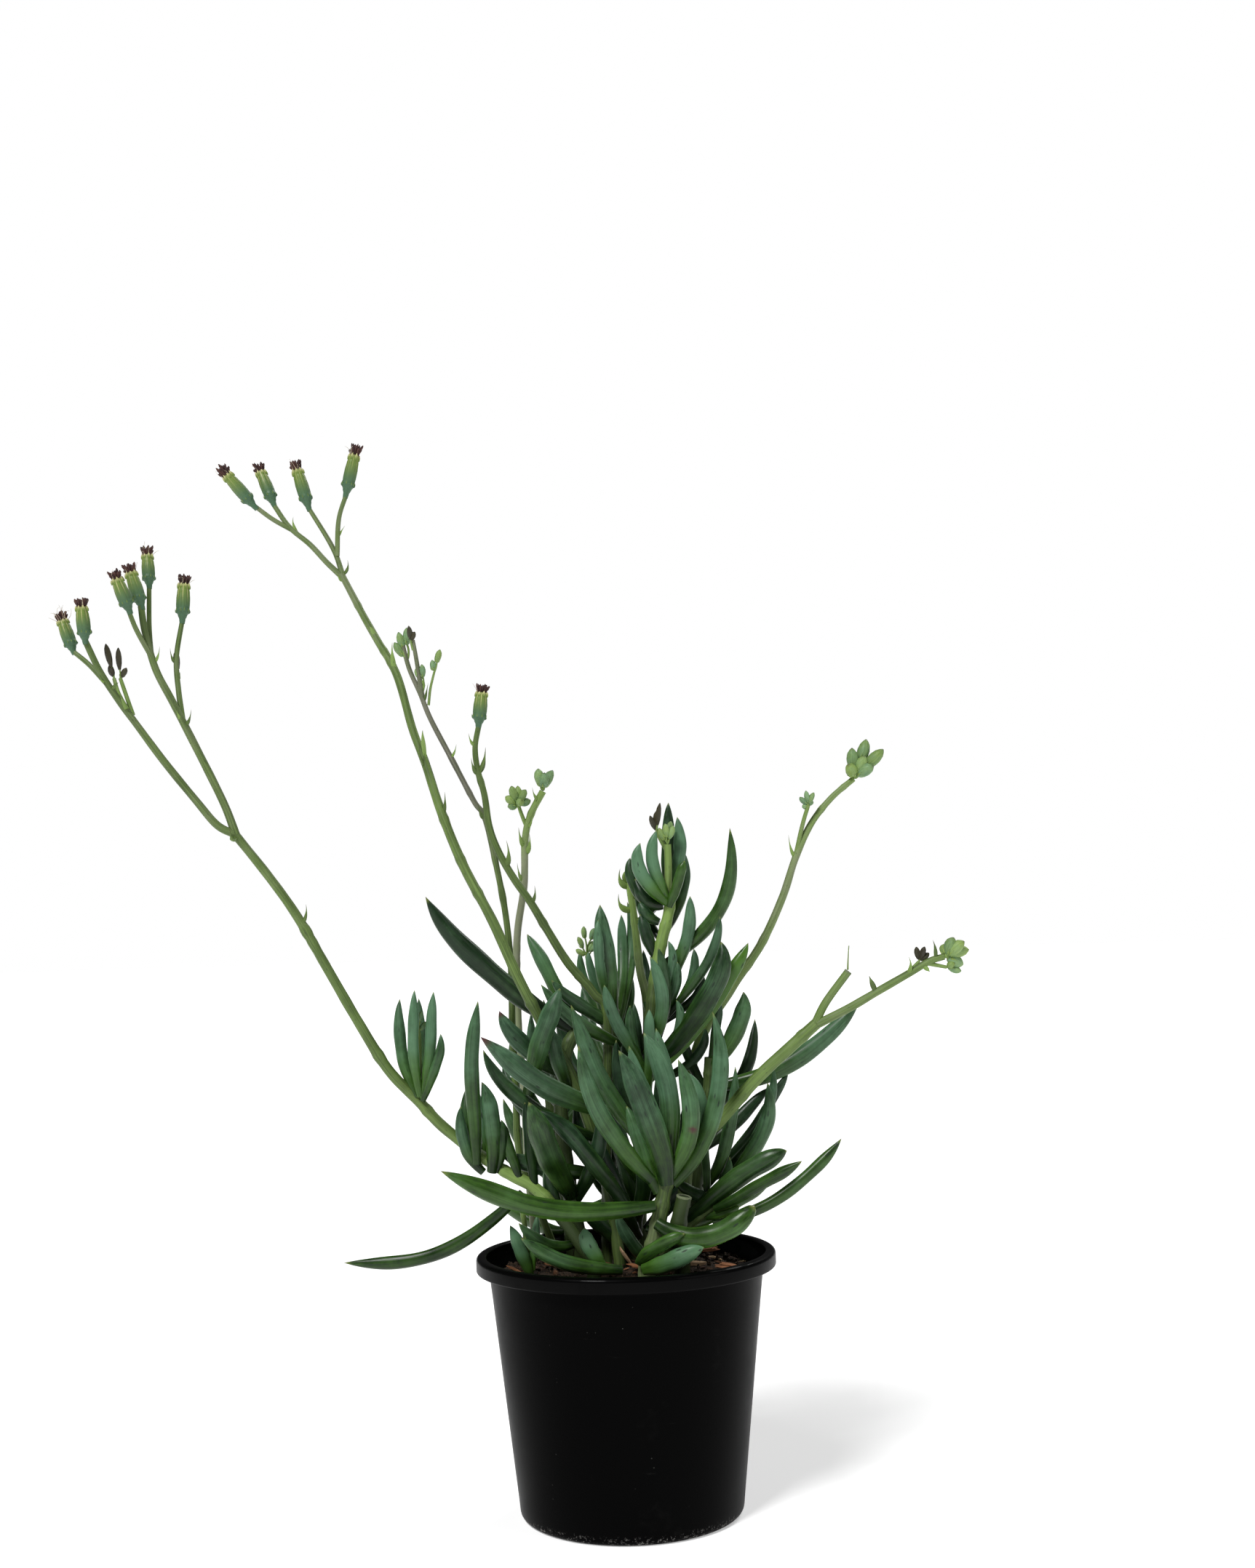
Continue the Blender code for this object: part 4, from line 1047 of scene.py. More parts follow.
class Finish:
    """A material, and the nodes that feed its shader."""

    def __init__(self, name, constants=None):
        self.material = bpy.data.materials.new(name)
        self.material.use_nodes = True
        self.tree = self.material.node_tree
        self.shader = self.tree.nodes["Principled BSDF"]
        for socket, value in (constants or {}).items():
            self.shader.inputs[socket].default_value = value

    def node(self, kind, settings=None, sockets=None, output=0):
        """A node with its settings, then the values or links of its sockets."""
        node = self.tree.nodes.new(kind)
        for key, value in (settings or {}).items():
            setattr(node, key, value)
        for key, value in (sockets or {}).items():
            self.feed(node.inputs[key], value)
        return Signal(self, node.outputs[output])

    def feed(self, socket, value):
        if isinstance(value, Signal):
            self.tree.links.new(value.socket, socket)
        elif socket.type == "RGBA":
            socket.default_value = (*value, 1.0)[:4]
        else:
            socket.default_value = value

    def attribute(self, name, output="Vector"):
        return self.node("ShaderNodeAttribute", {"attribute_name": name}, output=output)

    def split(self, vector):
        """The three numbers of a vector."""
        first = self.node("ShaderNodeSeparateXYZ", sockets={"Vector": vector})
        return [Signal(self, output) for output in first.socket.node.outputs]

    def readings(self):
        """The skin's straight place, then the three numbers of its growth."""
        return [self.attribute("straight"), *self.split(self.attribute("growth"))]

    def scaled(self, vector, factors):
        return self.node("ShaderNodeVectorMath", {"operation": "MULTIPLY"}, {0: vector, 1: factors})

    def noise(self, vector, scale, detail=2.0, roughness=0.5):
        return self.node("ShaderNodeTexNoise", sockets={
            "Vector": vector, "Scale": scale, "Detail": detail, "Roughness": roughness})

    def cells(self, vector, scale, feature="F1"):
        return self.node("ShaderNodeTexVoronoi", {"feature": feature},
                         {"Vector": vector, "Scale": scale})

    def mix(self, factor, first, second):
        """A colour between two colours."""
        return self.node("ShaderNodeMix", {"data_type": "RGBA"}, {0: factor, 6: first, 7: second},
                         output=2)

    def done(self, colour, roughness, height=None, bump=1.0, depth=0.0002):
        """Feeds the shader; height, 0 to 1, stands depth metres proud at its highest."""
        self.feed(self.shader.inputs["Base Color"], colour)
        self.feed(self.shader.inputs["Roughness"], roughness)
        if height is not None:
            relief = self.node("ShaderNodeBump", sockets={
                "Strength": bump, "Distance": depth, "Height": height})
            self.feed(self.shader.inputs["Normal"], relief)
        return self.material


def leaf_finish(plant):
    """Waxy skin: blue bloom over green, fine lines, small dark flecks, a fresh or dry tip, and painted
    light and shade mixed between a lit and a shaded copy of the colour.
    """
    finish = Finish("fleshy_leaf", {"Specular IOR Level": 0.32})
    straight, along, blueness, brightness = finish.readings()
    wither = finish.attribute("wither", "Fac")
    bloom = finish.noise(straight, 95, 3)
    smudge = finish.noise(straight, 260, 3, 0.6)
    lines = finish.noise(finish.scaled(straight, (1900, 1900, 26)), 1.0, 2)
    veins = finish.noise(finish.scaled(straight, (700, 700, 9)), 1.0, 1)
    fleck = finish.cells(finish.scaled(straight, (430, 430, 120)), 1.0).between(0.26, 0.1)
    fleck = fleck * finish.noise(straight, 150, 1).between(0.47, 0.58)
    waxy = (blueness * along.between(0.02, 0.7) * 1.15 + (bloom - 0.5) * 0.7).between(0.0, 1.0)
    # Painted light and shade: light mixes the shaded and the lit colour, with painted shade towards the
    # leaf's foot.
    light = brightness + (bloom - 0.5) * 0.55 + (lines - 0.5) * 0.45 + (veins - 0.5) * 0.45
    light = (light + (smudge - 0.5) * 0.3 - (1.0 - along.between(0.0, 0.3)) * 0.2).between(0.0, 1.0)
    shade = finish.mix(waxy, plant.shaded_leaf_green, plant.shaded_leaf_blue)
    lit = finish.mix(waxy, plant.lit_leaf_green, plant.lit_leaf_bloom)
    colour = finish.mix(light, shade, lit)
    colour = finish.mix(fleck * 0.85, colour, plant.fleck)
    colour = finish.mix(along.between(0.955, 1.0) * 0.75, colour, plant.tip)
    colour = finish.mix(wither.between(0.05, 0.8), colour, plant.withered)
    roughness = 0.33 + (bloom - 0.5) * 0.25 + waxy * 0.10 + fleck * 0.1
    height = lines * 0.45 + veins * 0.4 + smudge * 0.25 - fleck * 0.5
    return finish.done(colour, roughness, height, 0.55, 0.00022)


def stem_finish(plant):
    """Yellow-green to grey-purple bark of the soft stems, with fine ribs and pale scars, and painted
    light and shade mixed between a lit and a shaded copy of the colour.
    """
    finish = Finish("soft_stem", {"Specular IOR Level": 0.4})
    straight, along, purple, brightness = finish.readings()
    wither = finish.attribute("wither", "Fac")
    ribs = finish.noise(finish.scaled(straight, (1500, 1500, 30)), 1.0, 2)
    patches = finish.noise(straight, 85, 3)
    scars = finish.cells(finish.scaled(straight, (420, 420, 160)), 1.0).between(0.16, 0.05)
    tint = (purple + (patches - 0.5) * 0.8).between(0.1, 0.95)
    # Painted light and shade: light mixes the shaded and the lit stem colours.
    light = (brightness + (ribs - 0.5) * 0.7 + (patches - 0.5) * 0.4).between(0.0, 1.0)
    shade = finish.mix(tint, plant.stem_shade, plant.shaded_stem_tinge)
    lit = finish.mix(tint, plant.stem_light, plant.lit_stem_tinge)
    colour = finish.mix(light, shade, lit)
    colour = finish.mix(scars * 0.35, colour, plant.fleck)
    colour = finish.mix(wither, colour, plant.withered)
    return finish.done(colour, 0.46 + ribs * 0.16, ribs * 0.7 - scars * 0.6, 0.6, 0.0002)


def cut_finish(plant):
    """The dry face of a pruned stem: a pale ring round a dark, cracked heart."""
    finish = Finish("cut_face")
    straight, _, ring, _ = finish.readings()
    grain = finish.noise(straight, 900, 3)
    colour = finish.mix((ring + (grain - 0.5) * 0.5).between(0.55, 0.8), plant.cut_heart,
                        plant.cut_ring)
    return finish.done(colour, 0.8, grain, 0.6, 0.0003)


def cup_finish(flower):
    """A flower cup: blue-green at its foot, yellow-green above, cream along its seams."""
    finish = Finish("flower_cup", {"Specular IOR Level": 0.4})
    straight, along, seam, _ = finish.readings()
    wither = finish.attribute("wither", "Fac")
    ribs = finish.noise(finish.scaled(straight, (2200, 2200, 60)), 1.0, 2)
    patches = finish.noise(straight, 240, 2)
    rise = along + (patches - 0.5) * 0.12
    colour = finish.mix(rise.between(0.1, 0.75), flower.cup_low, flower.cup_high)
    colour = finish.mix(ribs.between(0.45, 0.75) * 0.45, colour, flower.cup_dark)
    colour = finish.mix(seam.between(0.35, 0.95) * along.between(0.3, 0.7) * 0.8, colour,
                        flower.cream)
    colour = finish.mix(along.between(0.8, 0.95) * 0.85, colour, flower.cream)
    colour = finish.mix(wither, colour, flower.floret)
    return finish.done(colour, 0.48, ribs, 0.5, 0.0002)


def dry_finish(name, dark, light, scale):
    """Dry floret, hair or husk: a dark and a light colour in fine streaks."""
    finish = Finish(name)
    straight, _, _, brightness = finish.readings()
    streaks = finish.noise(finish.scaled(straight, (scale, scale, scale / 8)), 1.0, 3)
    light_share = (brightness * 0.5 + streaks * 0.8 - 0.25).between(0.15, 0.85)
    return finish.done(finish.mix(light_share, dark, light), 0.75, streaks, 0.6, 0.0003)


def bud_finish(flower):
    """Closed buds and their bracts: powdery blue-green with yellow-green ribs and ends, and painted light
    on the ribs and painted shade in the creases, mixed between a lit and a shaded copy of the colour.
    """
    finish = Finish("closed_bud", {"Specular IOR Level": 0.4})
    straight, along, blueness, brightness = finish.readings()
    wither = finish.attribute("wither", "Fac")
    ribs = finish.noise(finish.scaled(straight, (1700, 1700, 90)), 1.0, 2)
    patches = finish.noise(straight, 300, 2)
    tint = (blueness + (patches - 0.5) * 0.6 - along * 0.15).between(0.1, 0.9)
    # Painted light and shade: light mixes a shaded pair (bud shade, cup foot) and a lit pair (bud light,
    # bud bloom), with painted light on the ribs and painted shade in the creases.
    light = (brightness + (ribs - 0.5) * 0.8).between(0.0, 1.0)
    colour = finish.mix(light, finish.mix(tint, flower.bud_shade, flower.cup_low),
                        finish.mix(tint, flower.bud_light, flower.lit_bud_bloom))
    colour = finish.mix(wither.between(0.1, 0.9) * 0.9, colour, flower.floret)
    return finish.done(colour, 0.5 + patches * 0.1, ribs, 0.5, 0.0002)


def plastic_finish(pot):
    """Black moulded plastic: flow marks, dust, specks, a scuffed foot and a glossier lip."""
    finish = Finish("black_plastic", {"Specular IOR Level": 0.02, "Coat Roughness": 0.04})
    place = finish.node("ShaderNodeTexCoord", output="Object")
    rise = finish.split(finish.attribute("growth"))[0]
    flow = finish.noise(finish.scaled(place, (34, 34, 5)), 1.0, 3)
    grain = finish.noise(place, 2600, 2)
    dust = finish.noise(place, 55, 4, 0.65)
    speck = finish.cells(place, 210).between(0.08, 0.03) * finish.noise(place, 42).between(0.58, 0.66)
    scuff = rise.between(0.045, 0.01) * finish.noise(place, 700, 4, 0.7).between(0.54, 0.68)
    scratch = finish.noise(finish.scaled(place, (60, 60, 900)), 1.0, 2).between(0.68, 0.78)
    scratch = scratch * dust.between(0.5, 0.7)
    wear = speck * 0.1 + scuff * 0.5 + scratch * 0.02 + dust.between(0.6, 0.9) * 0.01
    gloss = rise.between(0.925, 0.945) * (1.0 - dust.between(0.5, 0.8) * 0.5)
    finish.feed(finish.shader.inputs["Coat Weight"], gloss * 0.06)
    colour = finish.mix(wear, pot.plastic_colour, pot.scuff_colour)
    roughness = 0.22 + flow * 0.12 + dust * 0.16 + scuff * 0.35 + speck * 0.3
    return finish.done(colour, roughness, grain * 0.35 + flow * 0.6, 0.35, 0.00025)


def soil_finish(pot):
    """Dark potting mix: damp and dry crumbs, fibres and rusty wood dust."""
    finish = Finish("potting_mix", {"Specular IOR Level": 0.25})
    place = finish.node("ShaderNodeTexCoord", output="Object")
    crumbs = finish.noise(place, 700, 5, 0.7)
    patches = finish.noise(place, 130, 3)
    fibres = finish.noise(finish.scaled(place, (2400, 300, 900)), 1.0, 3)
    colour = finish.mix(crumbs.between(0.35, 0.7), pot.soil_dark, pot.soil_light)
    colour = finish.mix(patches.between(0.55, 0.75) * 0.3, colour, pot.bark_rust)
    colour = finish.mix(fibres.between(0.64, 0.72) * 0.6, colour, pot.bark_pale)
    return finish.done(colour, 0.92, crumbs * 0.8 + fibres * 0.3, 0.9, 0.0009)


def bark_finish(pot):
    """Pine bark and splinters: rusty brown layers with pale torn fibres."""
    finish = Finish("pine_bark", {"Specular IOR Level": 0.3})
    straight, _, tint, brightness = finish.readings()
    layers = finish.noise(finish.scaled(straight, (300, 900, 1400)), 1.0, 4, 0.6)
    grain = finish.noise(straight, 1500, 3)
    colour = finish.mix((layers + (tint - 0.5) * 0.9).between(0.25, 0.75), pot.bark_dark,
                        pot.bark_rust)
    colour = finish.mix((layers + (brightness - 0.5) * 1.2).between(0.5, 0.85), colour,
                        pot.bark_pale)
    return finish.done(colour, 0.85, layers * 0.7 + grain * 0.3, 0.9, 0.0006)


def floor_finish(stage):
    """A pale floor that shines a little by itself, so that it stays near white."""
    finish = Finish("pale_floor", {"Specular IOR Level": 0.1, "Emission Strength": 0.38,
                                   "Emission Color": (1.0, 1.0, 1.0, 1.0)})
    place = finish.node("ShaderNodeTexCoord", output="Object")
    mottle = finish.noise(place, 3.0, 3)
    colour = finish.mix(mottle * 0.12, stage.floor_colour, stage.floor_shade)
    return finish.done(colour, 0.7 + mottle * 0.1)


# ------------------------------------------------------------------------------- settings
def colour_setting(name, description, default):
    return FloatVectorProperty(name=name, description=description, default=default,
                               subtype="COLOR", min=0.0, max=1.0)


def length_setting(name, description, default, low=0.0, high=400.0):
    return FloatProperty(name=name, description=description + ", in millimetres",
                         default=default, min=low, max=high)


class PotSettings(bpy.types.PropertyGroup):
    """Sizes of the nursery pot, and the colours of the pot and of what fills it."""

    rim_radius: length_setting("Rim radius", "Outside of the lip", RIM.x)
    height: length_setting("Height", "From the underside to the top of the lip", RIM.z)
    lip_height: length_setting("Lip height", "Height of the rolled lip", 7.0)
    wall_top_radius: length_setting("Wall top radius", "Outside of the wall under the lip", 64.0)
    wall_foot_radius: length_setting("Wall foot radius", "Outside of the wall at the foot", 51.8)
    foot_height: length_setting("Foot height", "Height of the rounded foot", 3.5)
    grains: IntProperty(name="Grains", description="Loose crumbs on the mix", default=620, min=0)
    splinters: IntProperty(name="Splinters", description="Bark splinters on the mix",
                           default=45, min=0)
    plastic_colour: colour_setting("Plastic", "Black moulded plastic", (0.0012, 0.0012, 0.0012))
    scuff_colour: colour_setting("Scuffs", "Dust and scuffed plastic", (0.38, 0.37, 0.35))
    soil_dark: colour_setting("Damp mix", "Darkest crumbs", (0.012, 0.008, 0.005))
    soil_light: colour_setting("Dry mix", "Lightest crumbs", (0.055, 0.034, 0.021))
    bark_dark: colour_setting("Dark bark", "Outer bark", (0.06, 0.026, 0.014))
    bark_rust: colour_setting("Rusty bark", "Inner bark", (0.26, 0.105, 0.045))
    bark_pale: colour_setting("Pale wood", "Torn fibres", (0.50, 0.34, 0.20))


class PlantSettings(bpy.types.PropertyGroup):
    """How finely the plant is built, and the colours of its leaves and stems."""

    leaf_rings: IntProperty(name="Leaf rings", description="Rings along a leaf", default=40, min=8)
    leaf_sides: IntProperty(name="Leaf sides", description="Points round a leaf", default=20, min=6)
    leaf_depth: FloatProperty(name="Leaf depth", description="Depth of a leaf for its width",
                              default=0.8, min=0.2, max=1.2, subtype="FACTOR")
    # Shaded and lit pairs: painted shade and painted light, which a leaf's brightness mixes between; the
    # blue pair is the waxy bloom, shaded and lit.
    shaded_leaf_green: colour_setting("Deep green", "Green leaf in the dark", (0.004, 0.017, 0.002))
    shaded_leaf_blue: colour_setting("Deep blue", "Blue leaf in the dark", (0.008, 0.028, 0.011))
    lit_leaf_green: colour_setting("Fresh green", "Green leaf in the light", (0.060, 0.152, 0.017))
    lit_leaf_bloom: colour_setting("Blue bloom", "Powdery wax on a leaf", (0.098, 0.212, 0.112))
    tip: colour_setting("Leaf tip", "Fresh yellow-green tip", (0.22, 0.27, 0.06))
    fleck: colour_setting("Flecks", "Dark flecks and scars", (0.010, 0.022, 0.012))
    withered: colour_setting("Withered", "Dry purple-brown", (0.065, 0.022, 0.022))
    # Shaded and lit pairs: painted shade and painted light, which a stem's brightness mixes between; the
    # tinged pair is the grey-purple tinge, shaded and lit.
    stem_shade: colour_setting("Stem shade", "Green stem in the dark", (0.028, 0.050, 0.010))
    stem_light: colour_setting("Stem light", "Green stem in the light", (0.21, 0.33, 0.075))
    shaded_stem_tinge: colour_setting("Stem purple", "Tinged stem in the dark", (0.060, 0.058, 0.042))
    lit_stem_tinge: colour_setting("Stem grey", "Tinged stem in the light", (0.27, 0.27, 0.20))
    cut_heart: colour_setting("Cut heart", "Middle of a pruned stem", (0.008, 0.010, 0.005))
    cut_ring: colour_setting("Cut ring", "Pale edge of a pruned stem", (0.14, 0.17, 0.09))


class FlowerSettings(bpy.types.PropertyGroup):
    """How many parts a flower head has, and the colours of heads and buds."""

    florets: IntProperty(name="Florets", description="Dry florets in a head", default=26, min=1)
    bracts: IntProperty(name="Bracts", description="Small bracts under a cup", default=9, min=0)
    cup_low: colour_setting("Cup foot", "Blue-green foot of a cup", (0.060, 0.135, 0.070))
    cup_high: colour_setting("Cup top", "Yellow-green top of a cup", (0.16, 0.235, 0.04))
    cup_dark: colour_setting("Cup ribs", "Dark lines on a cup", (0.055, 0.105, 0.030))
    cream: colour_setting("Cream", "Seams and points of a cup", (0.60, 0.56, 0.27))
    floret: colour_setting("Florets", "Dry maroon florets", (0.026, 0.008, 0.008))
    floret_light: colour_setting("Floret ends", "Paler parts of a floret", (0.10, 0.036, 0.024))
    hair: colour_setting("Hairs", "Pale hairs and threads", (0.72, 0.64, 0.46))
    # Painted shade and painted light: the bud shade, and the bud light with the bud bloom, are shaded and
    # lit copies that a bud's brightness mixes between.
    bud_shade: colour_setting("Bud shade", "Creases of a bud", (0.12, 0.20, 0.045))
    bud_light: colour_setting("Bud light", "Yellow-green ribs of a bud", (0.26, 0.37, 0.09))
    lit_bud_bloom: colour_setting("Bud bloom", "Powdery wax on a bud", (0.22, 0.38, 0.20))


class StageSettings(bpy.types.PropertyGroup):
    """The camera, the lights and the floor."""

    eye: FloatVectorProperty(name="Eye", description="Where the camera stands", subtype="TRANSLATION",
                             unit="LENGTH", default=(0.00013, -0.850, 0.2628))
    yaw: FloatProperty(name="Yaw", description="Turn to the left", subtype="ANGLE",
                       default=math.radians(-0.44))
    pitch: FloatProperty(name="Pitch", description="Tilt upwards", subtype="ANGLE",
                         default=math.radians(5.02))
    roll: FloatProperty(name="Roll", description="Lean of the camera", subtype="ANGLE",
                        default=math.radians(-1.55))
    lens: FloatProperty(name="Lens", description="Focal length in millimetres", default=40.84)
    floor_colour: colour_setting("Floor", "Pale floor", (0.97, 0.97, 0.97))
    floor_shade: colour_setting("Floor mottle", "Faint mottle of the floor", (0.93, 0.93, 0.93))
    key_power: FloatProperty(name="Key light", description="Strength of the main lamp",
                             default=2.5, min=0.0)
    sky: FloatProperty(name="Sky", description="Strength of the even light", default=0.08, min=0.0)
    backdrop: FloatProperty(name="Backdrop", description="Brightness of the sky as it is seen",
                            default=1.0, min=0.0)


# ------------------------------------------------------------------------------ operators
class PieceOperator(bpy.types.Operator):
    """Shared by the operators that make pieces."""

    bl_options = {"REGISTER", "UNDO"}

    def execute(self, context):
        scene = context.scene
        self.make(scene.succulent_pot, scene.succulent_plant, scene.succulent_flower)
        return {"FINISHED"}


class SUCCULENT_OT_pot(PieceOperator):
    """Make the black nursery pot with its rolled lip and drainage holes"""

    bl_idname = "succulent.pot"
    bl_label = "Nursery Pot"

    def make(self, pot, plant, flower):
        skin = Skin("nursery_pot")
        turn_skin(skin, pot_outline(pot), POT_SIDES)
        piece = skin.stand([plastic_finish(pot)], ["pot"], flat_above=50)
        drill_drains(piece)


class SUCCULENT_OT_mix(PieceOperator):
    """Make the potting mix with its crumbs and splinters"""

    bl_idname = "succulent.mix"
    bl_label = "Potting Mix"

    def make(self, pot, plant, flower):
        skin = Skin("crumbly_mix")
        radius = pot.wall_top_radius - WALL - 0.6
        add_soil(skin, radius)
        dice = skin.dice
        for _ in range(pot.grains):
            x, y = strewn(dice, radius, 0.98)
            size = 0.5 + 1.5 * dice.random() ** 3
            stretch = [dice.uniform(0.6, 1.3) for _ in range(3)]
            add_clod(skin, on_mix(x, y, size * 0.25), size, 0, (0.5, 0.5), stretch,
                     dice.uniform(0, 3), rough=0.7)
        for _ in range(pot.splinters):
            x, y = strewn(dice, radius, 0.9)
            size = dice.uniform(1.4, 3.8)
            add_clod(skin, on_mix(x, y, 0.7), size, 1, (dice.random(), dice.random() ** 2),
                     (1.0, dice.uniform(0.14, 0.4), dice.uniform(0.1, 0.22)),
                     dice.uniform(0, math.pi), dice.uniform(-0.35, 0.35), 0.5)
        for (x, y), length, turn, tilt, rust, paleness in SPLINTERS:
            rise = 1.0 + 0.4 * length * math.sin(math.radians(tilt))
            add_clod(skin, on_mix(x, y, rise), length / 2, 1, (rust, paleness), (1.0, 0.3, 0.13),
                     math.radians(turn), math.radians(tilt), 0.5)
        skin.stand([soil_finish(pot), bark_finish(pot)], ["potting_mix"],
                   flat_above=40)


class SUCCULENT_OT_bark(PieceOperator):
    """Make the loose bark chips on the mix"""

    bl_idname = "succulent.bark"
    bl_label = "Bark Chips"

    def make(self, pot, plant, flower):
        finish = bark_finish(pot)
        for name in sorted(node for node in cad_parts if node.startswith("bark_chip")):
            low, high = (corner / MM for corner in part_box(name))
            span = high - low
            skin = Skin(f"{name}_torn")
            turn = math.atan2(span.y, span.x) * (-1 if name == "bark_chip_2" else 1)
            length = 0.42 * math.hypot(span.x, span.y)
            add_chip(skin, (low + high) / 2, length, turn)
            skin.stand([finish], [name], flat_above=35)


def add_chip(skin, centre, length, turn):
    """A torn bark chip in three loose layers."""
    for layer in range(3):
        look = (skin.dice.uniform(0.3, 1.0), skin.dice.uniform(0.2, 0.8))
        shift = Vector((skin.dice.uniform(-1, 1), skin.dice.uniform(-1, 1), 0.75 * (layer - 1)))
        add_clod(skin, centre + shift, length * (1 - 0.12 * layer), 0, look, (1.0, 0.45, 0.085),
                 turn + skin.dice.uniform(-0.12, 0.12), skin.dice.uniform(-0.08, 0.08), 0.55)


class SUCCULENT_OT_stems(PieceOperator):
    """Make the leafy stems and the pruned stump"""

    bl_idname = "succulent.stems"
    bl_label = "Leafy Stems"

    def make(self, pot, plant, flower):
        finishes = [stem_finish(plant), cut_finish(plant)]
        for name, (foot, start, end, route) in STEMS.items():
            skin = Skin(f"{name}_grown")
            centres = stem_centres(foot, route, STEM_STEPS)
            if name not in ("cut_stump", "sprout_stem"):
                ahead = tangents(centres)[-1]
                centres += [centres[-1] + ahead * reach for reach in (0.8, 1.6, 2.2, 2.6)]
            last_knuckle = int(lengths_along(centres)[-1]) - 4
            knuckles = range(FIRST_KNUCKLE, last_knuckle, KNUCKLE_SPACE)
            look = stem_look(STEM_LOOKS.get(name, SHADED_STEM))
            add_stem(skin, centres, start, end, look, knuckles=knuckles, rib=0.03)
            if name == "cut_stump":
                add_cut_face(skin, centres, end, 1)
            skin.stand(finishes, [name])


def add_cut_face(skin, centres, radius, part):
    """The dry end of a pruned stem: a rolled pale edge round a sunken heart."""
    tip, along = centres[-1], (centres[-1] - centres[-2]).normalized()
    across, facing = ring_frame(along)
    first, sides = len(skin.points), 24
    # (share of the radius, height above the stem's end, paleness)
    profile = ((1.0, -0.6, 1.0), (1.06, 0.1, 1.0), (0.94, 0.5, 1.0), (0.74, 0.25, 0.7),
               (0.5, -0.1, 0.3), (0.2, -0.2, 0.0))
    last = len(profile) - 1
    for reach, rise, ring in profile:
        for angle in around(sides):
            wobble = 1 + 0.05 * noise.noise(Vector((math.cos(angle), math.sin(angle), ring)) * 1.5)
            out = (across * math.cos(angle) + facing * math.sin(angle)) * radius * reach * wobble
            skin.add_point(tip + out + along * rise, out * MM, (1.0, ring, 0.5))
    for ring in range(last):
        for k in range(sides):
            a, b = first + ring * sides + k, first + ring * sides + (k + 1) % sides
            skin.add_face((a, b, b + sides, a + sides), part)
    skin.add_face(tuple(range(first + last * sides, first + (last + 1) * sides)), part)
    skin.add_face(tuple(reversed(range(first, first + sides))), part)


class SUCCULENT_OT_leaves(PieceOperator):
    """Make every fleshy leaf, shoot by shoot"""

    bl_idname = "succulent.leaves"
    bl_label = "Fleshy Leaves"

    def make(self, pot, plant, flower):
        finish = leaf_finish(plant)
        detail = {"rings": plant.leaf_rings, "sides": plant.leaf_sides, "depth": plant.leaf_depth}
        for name, (_, *leaf) in FRAME_LEAVES.items():
            skin = Skin(f"{name}_grown")
            add_leaf(skin, *leaf, **detail)
            skin.stand([finish], [name])
        for name, leaves in MORE_LEAVES.items():
            skin = Skin(f"{name}_leaves")
            for leaf in leaves:
                add_leaf(skin, *leaf, **detail)
            skin.stand([finish])


class SUCCULENT_OT_stalks(PieceOperator):
    """Make the flowering stalks with their side branches and bracts"""

    bl_idname = "succulent.stalks"
    bl_label = "Flowering Stalks"

    def make(self, pot, plant, flower):
        finishes = [stem_finish(plant), cut_finish(plant)]
        for name, (foot, start, end, route, branches) in STALKS.items():
            skin = Skin(f"{name}_grown")
            centres = stem_centres(foot, route, STALK_STEPS)
            knots = [skin.dice.uniform(24, 34) * n for n in range(2, 14)]
            look = stem_look(STEM_LOOKS[name])
            add_stem(skin, centres, start, end, look, knuckles=knots)
            for n, (root, tip, branch_route) in enumerate(branches):
                centres = smooth_route([in_place(point) for point in branch_route], STALK_STEPS)
                add_stem(skin, centres, root, tip, look(0, 1), sides=12)
                if (name, n) == PRUNED_TWIG:
                    add_cut_face(skin, centres, tip, 1)
                    add_thread(skin, in_place(WISP_FOOT), UP, 11.0, 0.5, 0, 0.6)
            for *places, width, leaf_look in BRACTS.get(name, ()):
                add_bract(skin, *beside(name, places), width, leaf_look)
            skin.stand(finishes, [name])


class SUCCULENT_OT_heads(PieceOperator):
    """Make the spent flower heads"""

    bl_idname = "succulent.heads"
    bl_label = "Flower Heads"

    def make(self, pot, plant, flower):
        finishes = [cup_finish(flower),
                    dry_finish("dry_floret", flower.floret, flower.floret_light, 1500),
                    dry_finish("pale_hair", flower.floret_light, flower.hair, 900)]
        for name, (foot, top, width, threads) in HEADS.items():
            skin = Skin(f"{name}_grown")
            add_head(skin, foot, top, width, threads, flower.florets, flower.bracts)
            skin.stand(finishes, [name])


class SUCCULENT_OT_buds(PieceOperator):
    """Make the clusters of closed buds and the withered ones"""

    bl_idname = "succulent.buds"
    bl_label = "Closed Buds"

    def make(self, pot, plant, flower):
        finishes = [bud_finish(flower), stem_finish(plant)]
        for name, (foot, tips, width) in BUD_CLUSTERS.items():
            skin = Skin(f"{name}_grown")
            root = in_place(foot)
            for tip in tips:
                add_stalked_bud(skin, root, in_place(tip), width, False)
            skin.stand(finishes, [name])
        for n, (stalk, route, radius, tips, width, kind) in enumerate(SPRIGS, 1):
            skin = Skin(f"sprig_{n}_on_{stalk}")
            places = beside(stalk, route + tips)
            centres = smooth_route(places[:len(route)], TWIG_STEPS)
            add_stem(skin, centres, radius, radius * 0.8, (0.2, 0.7), 10, 1)
            for tip in places[len(route):]:
                add_stalked_bud(skin, centres[-1], tip, width, kind == "withered")
            skin.stand(finishes)


